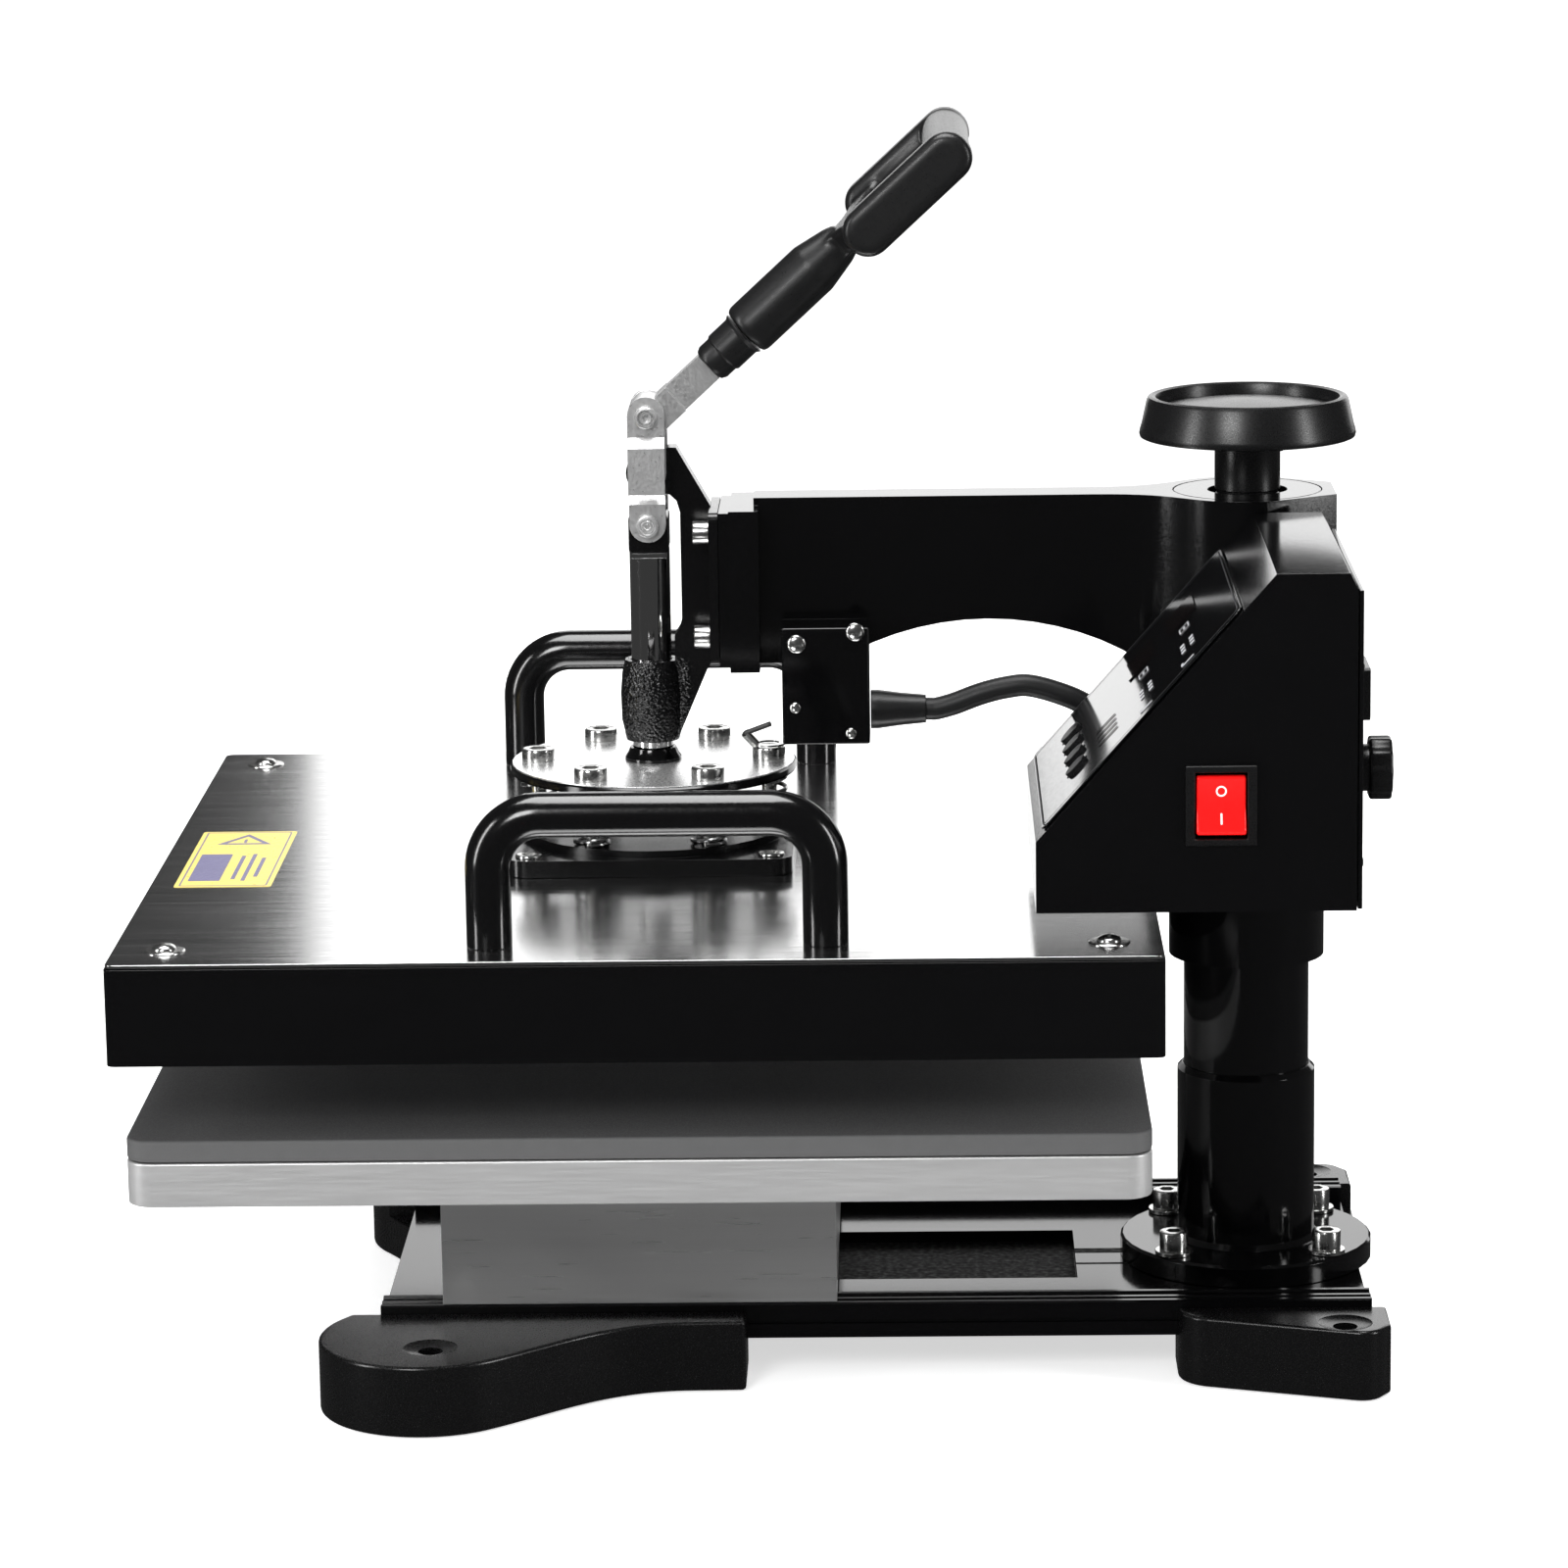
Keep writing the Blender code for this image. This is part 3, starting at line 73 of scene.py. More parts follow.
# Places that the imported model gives
SHAFT = centre("press_shaft")
COLUMN = centre("column_tube")
PIVOT = Vector(joints["lever_pull"]["pos_m"])
CRANK_PIN = Vector(joints["link_swing"]["pos_m"])
LINK_LENGTH = 0.043
SHAFT_PIN = Vector((0, PIVOT.y, CRANK_PIN.z - LINK_LENGTH))
LEVER_ANGLE = radians(42.5)
LEVER_DROP = 0.0032  # how far the lever's middle line runs below the crank pin
LOOP_X = 0.052  # middle of each of the handle's side pads
SHEET_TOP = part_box("cover_sheet")[1].z
DISC_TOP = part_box("spring_disc")[1].z
DISC_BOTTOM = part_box("spring_disc")[0].z
SEAT_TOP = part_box("spring_seat")[1].z
BOX_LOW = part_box("control_box_shell")[0]
PANEL_LOW, PANEL_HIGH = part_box("control_panel")

SIDE_VIEW = Matrix(((0, 0, 1), (1, 0, 0), (0, 1, 0))).to_4x4()
FRONT_VIEW = Matrix(((1, 0, 0), (0, 0, -1), (0, 1, 0))).to_4x4()


# Materials

def surface(
    name,
    colour,
    roughness,
    metallic=0.0,
    shade=0.15,
    spread=0.25,
    grain=400.0,
    stretch=(1, 1, 1),
    bump=0.02,
    depth=0.0001,
    specular=0.5,
    coat=0.0,
):
    """A Principled material whose colour, roughness and height vary with object-space noise.

    shade and spread are how much the colour and the roughness vary; grain is the noise's scale per
    metre, and stretch its scale along each axis.
    """
    made = bpy.data.materials.new(name)
    made.use_nodes = True
    tree = made.node_tree
    shader = tree.nodes["Principled BSDF"]
    shader.inputs["Metallic"].default_value = metallic
    shader.inputs["Specular IOR Level"].default_value = specular
    shader.inputs["Coat Weight"].default_value = coat
    shader.inputs["Coat Roughness"].default_value = 0.06

    place = tree.nodes.new("ShaderNodeTexCoord")
    mapping = tree.nodes.new("ShaderNodeMapping")
    mapping.inputs["Scale"].default_value = stretch
    tree.links.new(place.outputs["Object"], mapping.inputs["Vector"])

    broad = tree.nodes.new("ShaderNodeTexNoise")
    broad.inputs["Scale"].default_value = grain / 12
    broad.inputs["Detail"].default_value = 3
    fine = tree.nodes.new("ShaderNodeTexNoise")
    fine.inputs["Scale"].default_value = grain
    fine.inputs["Detail"].default_value = 4
    for noise in (broad, fine):
        tree.links.new(mapping.outputs["Vector"], noise.inputs["Vector"])

    tint = tree.nodes.new("ShaderNodeMix")
    tint.data_type = "RGBA"
    tint.inputs["A"].default_value = (*[c * (1 - shade) for c in colour], 1)
    tint.inputs["B"].default_value = (*[min(1, c * (1 + shade)) for c in colour], 1)
    tree.links.new(broad.outputs["Fac"], tint.inputs["Factor"])
    tree.links.new(tint.outputs["Result"], shader.inputs["Base Color"])

    gloss = tree.nodes.new("ShaderNodeMapRange")
    gloss.inputs["From Min"].default_value = 0.3
    gloss.inputs["From Max"].default_value = 0.7
    gloss.inputs["To Min"].default_value = roughness * (1 - spread)
    gloss.inputs["To Max"].default_value = roughness * (1 + spread)
    tree.links.new(fine.outputs["Fac"], gloss.inputs["Value"])
    tree.links.new(gloss.outputs["Result"], shader.inputs["Roughness"])

    height = tree.nodes.new("ShaderNodeBump")
    height.inputs["Strength"].default_value = bump
    height.inputs["Distance"].default_value = depth
    tree.links.new(fine.outputs["Fac"], height.inputs["Height"])
    tree.links.new(height.outputs["Normal"], shader.inputs["Normal"])
    return made


def rough_below(made, top, reach, strength):
    """Adds a coarse cast texture to a material where it is below a height and near the shaft."""
    tree = made.node_tree
    place = tree.nodes.new("ShaderNodeTexCoord")
    split = tree.nodes.new("ShaderNodeSeparateXYZ")
    tree.links.new(place.outputs["Object"], split.inputs[0])
    masks = []
    edge = SHAFT.y + reach
    for axis, start, end in (("Z", top + 0.003, top - 0.001), ("Y", edge + 0.004, edge)):
        mask = tree.nodes.new("ShaderNodeMapRange")
        mask.inputs["From Min"].default_value = start
        mask.inputs["From Max"].default_value = end
        tree.links.new(split.outputs[axis], mask.inputs["Value"])
        masks.append(mask)
    both = tree.nodes.new("ShaderNodeMath")
    both.operation = "MULTIPLY"
    for index, mask in enumerate(masks):
        tree.links.new(mask.outputs["Result"], both.inputs[index])
    lumps = tree.nodes.new("ShaderNodeTexVoronoi")
    lumps.feature = "SMOOTH_F1"
    lumps.inputs["Scale"].default_value = 900
    tree.links.new(place.outputs["Object"], lumps.inputs["Vector"])
    size = tree.nodes.new("ShaderNodeMath")
    size.operation = "MULTIPLY"
    tree.links.new(lumps.outputs["Distance"], size.inputs[0])
    tree.links.new(both.outputs["Value"], size.inputs[1])
    height = tree.nodes.new("ShaderNodeBump")
    height.inputs["Strength"].default_value = strength
    height.inputs["Distance"].default_value = 0.0009
    shader = tree.nodes["Principled BSDF"]
    under = shader.inputs["Normal"].links[0].from_socket
    tree.links.new(size.outputs["Value"], height.inputs["Height"])
    tree.links.new(under, height.inputs["Normal"])
    tree.links.new(height.outputs["Normal"], shader.inputs["Normal"])


BLACK_GLOSS = surface("black_gloss", (0.0015, 0.0015, 0.0017), 0.11, grain=900, bump=0.03, specular=0.6)
BLACK_BASE = surface("black_base", (0.0015, 0.0015, 0.0017), 0.12, grain=700, bump=0.02, specular=0.35)
BLACK_TUBE = surface("black_tube", (0.0018, 0.0018, 0.002), 0.16, grain=900, bump=0.03, specular=0.7)
BLACK_FEET = surface("black_feet", (0.0028, 0.0028, 0.003), 0.26, grain=1500, bump=0.05, specular=0.6)
BLACK_CAST = surface("black_cast", (0.0018, 0.0018, 0.002), 0.2, grain=1200, bump=0.06, specular=0.55)
BLACK_BRACKET = surface("black_bracket", (0.0018, 0.0018, 0.002), 0.2, grain=1200, bump=0.06, specular=0.55)
BLACK_PLASTIC = surface("black_plastic", (0.004, 0.004, 0.0043), 0.3, grain=2500, bump=0.06, specular=0.5)
BLACK_PANEL = surface("black_panel", (0.003, 0.003, 0.0033), 0.08, grain=600, bump=0.01, specular=0.8)
BLACK_RUBBER = surface("black_rubber", (0.005, 0.005, 0.0053), 0.36, grain=1800, bump=0.1, specular=0.5)
CABLE_RUBBER = surface("cable_rubber", (0.006, 0.006, 0.0065), 0.45, grain=2500, bump=0.15, specular=0.4)
MATT_BLACK = surface("matt_black", (0.004, 0.004, 0.004), 0.7, specular=0.2)
SILICONE = surface(
    "grey_silicone", (0.075, 0.075, 0.076), 0.55, shade=0.06, grain=2500, bump=0.12, specular=0.35
)
SHEET_STEEL = surface(
    "brushed_sheet", (0.62, 0.62, 0.62), 0.17, 1.0, shade=0.03, spread=0.3, grain=1500,
    stretch=(1, 0.01, 1), bump=0.05, depth=0.00004,
)
PEDESTAL_STEEL = surface(
    "brushed_pedestal", (0.55, 0.55, 0.55), 0.36, 0.85, shade=0.12, grain=1400, stretch=(0.02, 0.02, 1),
    bump=0.12, depth=0.00006,
)
ALUMINIUM = surface(
    "milled_aluminium", (0.72, 0.72, 0.72), 0.4, 0.75, shade=0.1, grain=1200, stretch=(0.03, 0.03, 1),
    bump=0.12, depth=0.00006,
)
PLATED = surface("plated_disc", (0.86, 0.86, 0.86), 0.3, 0.9, shade=0.03, grain=900, bump=0.02, depth=0.00001)
CHROME = surface("chrome", (0.72, 0.72, 0.72), 0.05, 1.0, shade=0.02, grain=300, bump=0.01)
NICKEL = surface("nickel", (0.74, 0.74, 0.74), 0.36, 0.85, shade=0.05, grain=900, bump=0.05, depth=0.00001)
BAR_STEEL = surface(
    "bar_steel", (0.6, 0.6, 0.6), 0.38, 0.85, shade=0.06, grain=900, bump=0.05, depth=0.00001
)
SCREW_STEEL = surface(
    "screw_steel", (0.62, 0.62, 0.61), 0.22, 1.0, shade=0.08, grain=1500, bump=0.05, depth=0.00001
)
SPRING_STEEL = surface("spring_steel", (0.4, 0.4, 0.4), 0.22, 1.0, shade=0.1, grain=2000, bump=0.05)
RED_PLASTIC = surface(
    "red_plastic", (0.78, 0.006, 0.006), 0.16, shade=0.08, grain=800, bump=0.01, specular=0.5
)
WHITE_INK = surface("white_ink", (0.8, 0.8, 0.8), 0.4, shade=0.04)
GREY_INK = surface("grey_ink", (0.42, 0.42, 0.44), 0.4, shade=0.15)
YELLOW_FILM = surface("yellow_film", (0.78, 0.62, 0.16), 0.35, shade=0.05, grain=500)
VIOLET_INK = surface("violet_ink", (0.16, 0.15, 0.26), 0.4, shade=0.1, grain=500)
DIM_INK = surface("dim_ink", (0.03, 0.03, 0.032), 0.4, shade=0.1)
DARK_GLASS = surface("dark_glass", (0.004, 0.003, 0.003), 0.05, shade=0.2, specular=0.7)
BOARD_GREEN = surface("board_green", (0.01, 0.09, 0.035), 0.35, shade=0.3, grain=900)
FIBRE = surface("fibre_board", (0.6, 0.57, 0.5), 0.9, shade=0.12, grain=1500, bump=0.4)
rough_below(BLACK_BRACKET, 0.2716, 0.013, 0.9)

NODE_MATERIALS = {
    BLACK_GLOSS: [
        "column_base", "column_tube", "swing_arm", "hub_cap", "platen_cover", "control_box_shell",
        "control_box_back", "connector_box",
    ],
    BLACK_BASE: ["base_plate"],
    BLACK_FEET: ["foot_front_left", "foot_front_right", "foot_rear_left", "foot_rear_right"],
    BLACK_CAST: ["spring_seat"],
    BLACK_BRACKET: ["head_bracket"],
    BLACK_PLASTIC: [
        "rocker_bezel", "power_inlet", "panel_key_1", "panel_key_2", "panel_key_3", "panel_key_4",
    ],
    BLACK_PANEL: ["control_panel"],
    BLACK_RUBBER: ["lever_collar", "strain_relief"],
    SILICONE: ["silicone_pad"],
    ALUMINIUM: ["lower_platen", "heating_plate"],
    SHEET_STEEL: ["cover_sheet"],
    PEDESTAL_STEEL: ["pedestal"],
    CHROME: ["press_shaft"],
    PLATED: ["spring_disc"],
    NICKEL: ["link_plate_left", "link_plate_right"],
    BAR_STEEL: ["lever_bar"],
    SCREW_STEEL: ["lever_pivot_pin", "column_nut", "thrust_collar", "lift_screw"],
    RED_PLASTIC: ["power_rocker"],
    BOARD_GREEN: ["controller_board"],
    FIBRE: ["insulation_board"],
}
EDGE_RADIUS = {  # metres; the others get EDGE
    "silicone_pad": 0.0012, "lower_platen": 0.0008,
    "control_box_shell": 0.0009, "swing_arm": 0.0007, "connector_box": 0.0008,
    "spring_seat": 0.0008, "platen_cover": 0.0006, "power_rocker": 0.0009, "rocker_bezel": 0.0005,
    "link_plate_left": 0.0007, "link_plate_right": 0.0007, "lever_bar": 0.0005,
}
EDGE = 0.0003
SMOOTH_ANGLE = radians(32)


def soften(obj, radius):
    """Welds a carried-over node, merges its flats, and rounds its sharp edges."""
    weld = obj.modifiers.new("Weld", "WELD")
    weld.merge_threshold = 0.00001
    flats = obj.modifiers.new("Flats", "DECIMATE")
    flats.decimate_type = "DISSOLVE"
    flats.angle_limit = radians(0.5)
    bevel = obj.modifiers.new("Edges", "BEVEL")
    bevel.width = radius
    bevel.segments = 2
    bevel.limit_method = "ANGLE"
    bevel.angle_limit = SMOOTH_ANGLE
    bevel.use_clamp_overlap = True
    normals = obj.modifiers.new("Normals", "WEIGHTED_NORMAL")
    normals.keep_sharp = True


def dress(obj, made):
    obj.data.materials.clear()
    obj.data.materials.append(made)


for made, names in NODE_MATERIALS.items():
    for name in names:
        dress(nodes[name], made)
        nodes[name].data.shade_smooth()
        soften(nodes[name], EDGE_RADIUS.get(name, EDGE))


# Mesh helpers

def add(name, bm, made, body, smooth=True):
    bmesh.ops.recalc_face_normals(bm, faces=bm.faces)
    mesh = bpy.data.meshes.new(name)
    bm.to_mesh(mesh)
    bm.free()
    return place_mesh(name, mesh, made, body, smooth)


def place_mesh(name, mesh, made, body, smooth=True):
    if smooth:
        mesh.shade_smooth()
        mesh.set_sharp_from_angle(angle=SMOOTH_ANGLE)
    obj = bpy.data.objects.new(name, mesh)
    bpy.context.scene.collection.objects.link(obj)
    dress(obj, made)
    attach(obj, body)
    return obj


def toward(axis, place):
    """The matrix that turns +Z to an axis and moves the origin to a place."""
    return Matrix.Translation(Vector(place)) @ Vector(axis).to_track_quat("Z", "Y").to_matrix().to_4x4()


def lathe(profile, steps=48):
    """A mesh of the profile, (radius, height) points, turned about Z."""
    bm = bmesh.new()
    points = [bm.verts.new((radius, 0, height)) for radius, height in profile]
    edges = [bm.edges.new(pair) for pair in zip(points, points[1:])]
    bmesh.ops.spin(
        bm, geom=points + edges, cent=(0, 0, 0), axis=(0, 0, 1), angle=2 * pi, steps=steps, use_merge=True
    )
    bmesh.ops.remove_doubles(bm, verts=bm.verts, dist=0.000002)
    return bm


def turned(name, profile, made, body, place, axis=(0, 0, 1), steps=48):
    bm = lathe(profile, steps)
    bmesh.ops.transform(bm, matrix=toward(axis, place), verts=bm.verts)
    return add(name, bm, made, body)


def plate_mesh(outline, low, high, view, holes=(), edge=0.0):
    """A mesh of a flat outline, with holes and rounded edges, low to high along the view's axis."""
    curve = bpy.data.curves.new("outline", "CURVE")
    curve.dimensions = "2D"
    curve.fill_mode = "BOTH"
    curve.extrude = (high - low) / 2 - edge
    curve.bevel_depth = edge
    curve.bevel_resolution = 2
    curve.offset = -edge
    for loop in (outline, *holes):
        spline = curve.splines.new("POLY")
        spline.points.add(len(loop) - 1)
        for point, (x, y) in zip(spline.points, loop):
            point.co = (x, y, 0, 1)
        spline.use_cyclic_u = True
    helper = bpy.data.objects.new("outline", curve)
    bpy.context.scene.collection.objects.link(helper)
    bpy.context.view_layer.update()
    mesh = bpy.data.meshes.new_from_object(helper.evaluated_get(bpy.context.evaluated_depsgraph_get()))
    bpy.data.objects.remove(helper)
    mesh.transform(view @ Matrix.Translation((0, 0, (low + high) / 2)))
    bm = bmesh.new()
    bm.from_mesh(mesh)
    bmesh.ops.remove_doubles(bm, verts=bm.verts, dist=0.000004)
    return bm


def plate(name, outline, low, high, view, made, body, slot=None, holes=(), edge=0.0):
    return add(name, plate_mesh(outline, low, high, view, holes, edge), made, body)


def arc(middle, radius, start, end, steps):
    angles = (radians(start + (end - start) * i / steps) for i in range(steps + 1))
    return [(middle[0] + radius * cos(a), middle[1] + radius * sin(a)) for a in angles]


def rounded(half_x, half_y, radius, middle=(0, 0), steps=6):
    points = []
    for sx, sy, start in ((1, 1, 0), (-1, 1, 90), (-1, -1, 180), (1, -1, 270)):
        corner = (middle[0] + sx * (half_x - radius), middle[1] + sy * (half_y - radius))
        points += arc(corner, radius, start, start + 90, steps)
    return points


def mirrored(points):
    return [(-x, y) for x, y in reversed(points)]


def tube(name, points, radius, made, body, sides=6):
    """A round tube along a list of points, 4 * sides faces round."""
    curve = bpy.data.curves.new(name, "CURVE")
    curve.dimensions = "3D"
    curve.bevel_depth = radius
    curve.bevel_resolution = sides
    curve.use_fill_caps = True
    spline = curve.splines.new("POLY")
    spline.points.add(len(points) - 1)
    for point, place in zip(spline.points, points):
        point.co = (*place, 1)
    helper = bpy.data.objects.new(name, curve)
    bpy.context.scene.collection.objects.link(helper)
    bpy.context.view_layer.update()
    mesh = bpy.data.meshes.new_from_object(helper.evaluated_get(bpy.context.evaluated_depsgraph_get()))
    bpy.data.objects.remove(helper)
    bm = bmesh.new()
    bm.from_mesh(mesh)
    bmesh.ops.remove_doubles(bm, verts=bm.verts, dist=0.000004)
    return add(name, bm, made, body)


def carved(bm, cutters):
    """The mesh of a form with the cutters' forms taken out."""
    helpers = []
    for index, form in enumerate((bm, *cutters)):
        bmesh.ops.recalc_face_normals(form, faces=form.faces)
        mesh = bpy.data.meshes.new(f"form_{index}")
        form.to_mesh(mesh)
        form.free()
        helper = bpy.data.objects.new(f"form_{index}", mesh)
        bpy.context.scene.collection.objects.link(helper)
        helpers.append(helper)
    for cutter in helpers[1:]:
        boolean = helpers[0].modifiers.new("Boolean", "BOOLEAN")
        boolean.operation = "DIFFERENCE"
        boolean.object = cutter
    bpy.context.view_layer.update()
    graph = bpy.context.evaluated_depsgraph_get()
    mesh = bpy.data.meshes.new_from_object(helpers[0].evaluated_get(graph))
    for helper in helpers:
        bpy.data.objects.remove(helper)
    return mesh


def put(name, mesh, made, body, place, axis=(0, 0, 1)):
    """A copy of a mesh that was made upright at the origin."""
    copy = mesh.copy()
    copy.transform(toward(axis, place))
    return place_mesh(name, copy, made, body)


# Fasteners

def prism(sides, radius, low, high):
    bm = bmesh.new()
    bmesh.ops.create_cone(bm, cap_ends=True, segments=sides, radius1=radius, radius2=radius, depth=high - low)
    bmesh.ops.translate(bm, vec=(0, 0, (low + high) / 2), verts=bm.verts)
    return bm


def cap_screw(head_r, head_h, washer_r=0.0, washer_h=0.0, shank_r=0.0, shank_h=0.0):
    """A socket cap screw, with a hexagonal recess and soft rims, standing on z = 0."""
    top = washer_h + head_h
    rim = head_r * 0.12
    profile = [(0, top), (head_r - rim, top), (head_r - rim * 0.3, top - rim * 0.3), (head_r, top - rim)]
    profile += [(head_r, washer_h + rim * 0.4), (head_r - rim * 0.4, washer_h)]
    if washer_r:
        profile += [(washer_r - 0.0002, washer_h), (washer_r, washer_h - 0.0002), (washer_r, 0)]
    if shank_r:
        profile += [(shank_r, 0), (shank_r, -shank_h)]
    profile.append((0, profile[-1][1]))
    return carved(lathe(profile, 40), [prism(6, head_r * 0.56, top - head_h * 0.55, top + 0.001)])


def pan_screw(radius, height, skirt_r=0.0):
    """A domed cross-head screw, on an optional flat washer skirt."""
    dome = [(radius * sin(a), height * (0.25 + 0.75 * cos(a))) for a in (pi / 2 * i / 8 for i in range(9))]
    profile = [*dome, (radius, 0)]
    if skirt_r:
        skirt = [(radius, height * 0.25), (skirt_r - 0.0004, height * 0.2), (skirt_r, height * 0.08)]
        profile = [*dome[:-1], *skirt, (skirt_r, 0)]
    profile.append((0, 0))
    slots = []
    for half_x, half_y in ((radius * 0.56, radius * 0.13), (radius * 0.13, radius * 0.56)):
        bm = bmesh.new()
        bmesh.ops.create_cube(bm, size=2)
        bmesh.ops.scale(bm, vec=(half_x, half_y, height * 0.5), verts=bm.verts)
        bmesh.ops.translate(bm, vec=(0, 0, height), verts=bm.verts)
        slots.append(bm)
    return carved(lathe(profile, 36), slots)


def rivet(radius, height):
    """A toggle pin's end: a rim, a ring groove and a drilled centre."""
    profile = [
        (0, height * 0.35),
        (radius * 0.22, height * 0.4),
        (radius * 0.3, height * 0.9),
        (radius * 0.52, height * 0.95),
        (radius * 0.6, height * 0.5),
        (radius * 0.68, height * 0.5),
        (radius * 0.76, height),
        (radius * 0.92, height * 0.96),
        (radius, height * 0.8),
        (radius, 0),
        (0, 0),
    ]
    return lathe(profile, 40)


def fasteners():
    bolt = cap_screw(0.0065, 0.0048, shank_r=0.003, shank_h=0.0315)
    for index in range(1, 7):
        node = f"disc_bolt_{index}"
        spot = centre(node)
        spot.z = DISC_TOP
        made = put(f"platen_bolt_{index}", bolt, SCREW_STEEL, "press", spot)
        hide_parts(node)
        spring(f"platen_spring_{index}", spot)

    screw = cap_screw(0.0057, 0.0078, 0.0075, 0.0014, 0.004, 0.017)
    for index in range(1, 5):
        node = f"flange_screw_{index}"
        spot = centre(node)
        spot.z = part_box("column_base")[0].z + 0.0088
        made = put(f"column_screw_{index}", screw, SCREW_STEEL, "base", spot)
        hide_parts(node)

    bracket = cap_screw(0.0046, 0.0064)
    face = SHAFT.y + 0.0241
    places = ((-0.0155, 0.3245), (0.0155, 0.3245), (-0.0155, 0.283), (0.0155, 0.283))
    for index, (x, z) in enumerate(places, 1):
        put(f"bracket_screw_{index}", bracket, SCREW_STEEL, "arm", (x, face, z), (0, -1, 0))

    corner = pan_screw(0.0046, 0.0030, 0.0078)
    for index, (sx, sy) in enumerate(((-1, -1), (1, -1), (-1, 1), (1, 1)), 1):
        spot = (sx * 0.172, SHAFT.y + sy * 0.175, SHEET_TOP)
        put(f"cover_screw_{index}", corner, SCREW_STEEL, "press", spot)

    seat = cap_screw(0.0052, 0.0012)
    for index, (sx, sy) in enumerate(((-1, -1), (1, -1), (-1, 1), (1, 1)), 1):
        spot = (sx * 0.0475, SHAFT.y + sy * 0.0475, SEAT_TOP - 0.0031)
        put(f"seat_screw_{index}", seat, SCREW_STEEL, "press", spot)

    face_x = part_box("connector_box")[1].x
    large, small = pan_screw(0.0037, 0.0018), pan_screw(0.0022, 0.0013)
    places = (
        (0.0582, 0.2822, large), (0.0812, 0.2868, large), (0.0574, 0.2568, small), (0.0792, 0.2464, small),
    )
    for index, (y, z, mesh) in enumerate(places, 1):
        spot = (face_x - 0.0001, SHAFT.y + y, z)
        put(f"connector_screw_{index}", mesh, SCREW_STEEL, "arm", spot, (1, 0, 0))

    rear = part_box("control_box_back")[1].y
    places = ((0.045, 0.296), (0.165, 0.296), (0.045, 0.223), (0.165, 0.223))
    for index, (x, z) in enumerate(places, 1):
        put(f"back_screw_{index}", small, SCREW_STEEL, "arm", (x, rear - 0.0001, z), (0, 1, 0))

    rivet_end = 0.0154
    for index, side in enumerate((-1, 1), 1):
        for name, pin, start in (("link_rivet", CRANK_PIN, 0.0127), ("shaft_rivet", SHAFT_PIN, 0.0146)):
            bm = rivet(0.0043, rivet_end - start)
            place = toward((side, 0, 0), pin + Vector((side * start, 0, 0)))
            bmesh.ops.transform(bm, matrix=place, verts=bm.verts)
            made = add(f"{name}_{index}", bm, NICKEL, "link")
            if name == "link_rivet" and side == 1:
                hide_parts("link_pin")


def spring(name, spot):
    """A compression spring between the seat and the disc, with flat ends."""
    wire, coil, turns, per_turn = 0.0009, 0.0066, 5.5, 20
    low, high = SEAT_TOP + wire, DISC_BOTTOM - wire
    points = []
    count = int(turns * per_turn)
    for i in range(count + 1):
        angle = 2 * pi * i / per_turn
        lead = max(0.0, min(1.0, (i / count - 0.12) / 0.76))
        points.append((spot.x + coil * cos(angle), spot.y + coil * sin(angle), low + (high - low) * lead))
    tube(name, points, wire, SPRING_STEEL, "press", sides=2)


# Press head

def press_head():
    turned(
        "shaft_flange",
        [(0.0081, 0.0052), (0.0092, 0.0050), (0.0100, 0.0030), (0.0112, 0.0012), (0.0112, 0), (0.0081, 0)],
        BLACK_GLOSS,
        "press",
        (0, SHAFT.y, DISC_TOP + 0.0001),
    )
    disc_low, disc_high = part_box("spring_disc")
    rim_r = (disc_high.x - disc_low.x) / 2
    turned(
        "disc_rim",
        [
            (rim_r + 0.0001, 0.0030),
            (rim_r + 0.0007, 0.0024),
            (rim_r + 0.0007, 0.0004),
            (rim_r + 0.0001, 0),
            (rim_r - 0.0015, -0.0001),
            (rim_r - 0.0015, -0.0003),
            (rim_r + 0.0003, -0.0003),
        ],
        BLACK_GLOSS,
        "press",
        (0, SHAFT.y, DISC_BOTTOM),
        steps=96,
    )
    # A block of black steel under the link's lower end, round the flat head of the shaft
    half = 0.0078
    outline = rounded(half, half, 0.002, (SHAFT.y, SHAFT_PIN.z - 0.0040))
    made = (SIDE_VIEW, BLACK_CAST, "press", "black_cast")
    plate("shaft_head_block", outline, -0.0094, 0.0094, *made, edge=0.0006)

    # Ground terminal on the rearmost bolt
    bolt = Vector((0, SHAFT.y + 0.046, DISC_TOP + 0.0054))
    turned("ground_ring", [(0.0042, 0.0008), (0.0068, 0.0008), (0.0068, 0), (0.0042, 0), (0.0042, 0.0008)],
           SCREW_STEEL, "press", bolt)
    start = bolt + Vector((0.004, -0.005, 0.001))
    end = start + Vector((0.003, -0.004, 0.005))
    tube("ground_barrel", [start, end], 0.0019, SCREW_STEEL, "press", sides=3)
    wire = [end + Vector((0.001 * i, 0.0025 * i, 0.0011 * i)) for i in range(5)]
    tube("ground_wire", wire, 0.0011, BLACK_RUBBER, "press", sides=3)

    for name in ("left", "right"):
        low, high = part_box(f"side_grip_{name}")
        radius = (high.x - low.x) / 2
        corner = 0.020
        y0, y1 = low.y + radius, high.y - radius
        top = high.z - radius
        x = (low.x + high.x) / 2
        bends = arc((y0 + corner, top - corner), corner, 180, 90, 16)
        bends += arc((y1 - corner, top - corner), corner, 90, 0, 16)
        route = [(x, y0, low.z), *[(x, y, z) for y, z in bends], (x, y1, low.z)]
        grip = tube(f"{name}_grip_tube", route, radius, BLACK_TUBE, "press", sides=10)
        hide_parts(f"side_grip_{name}")


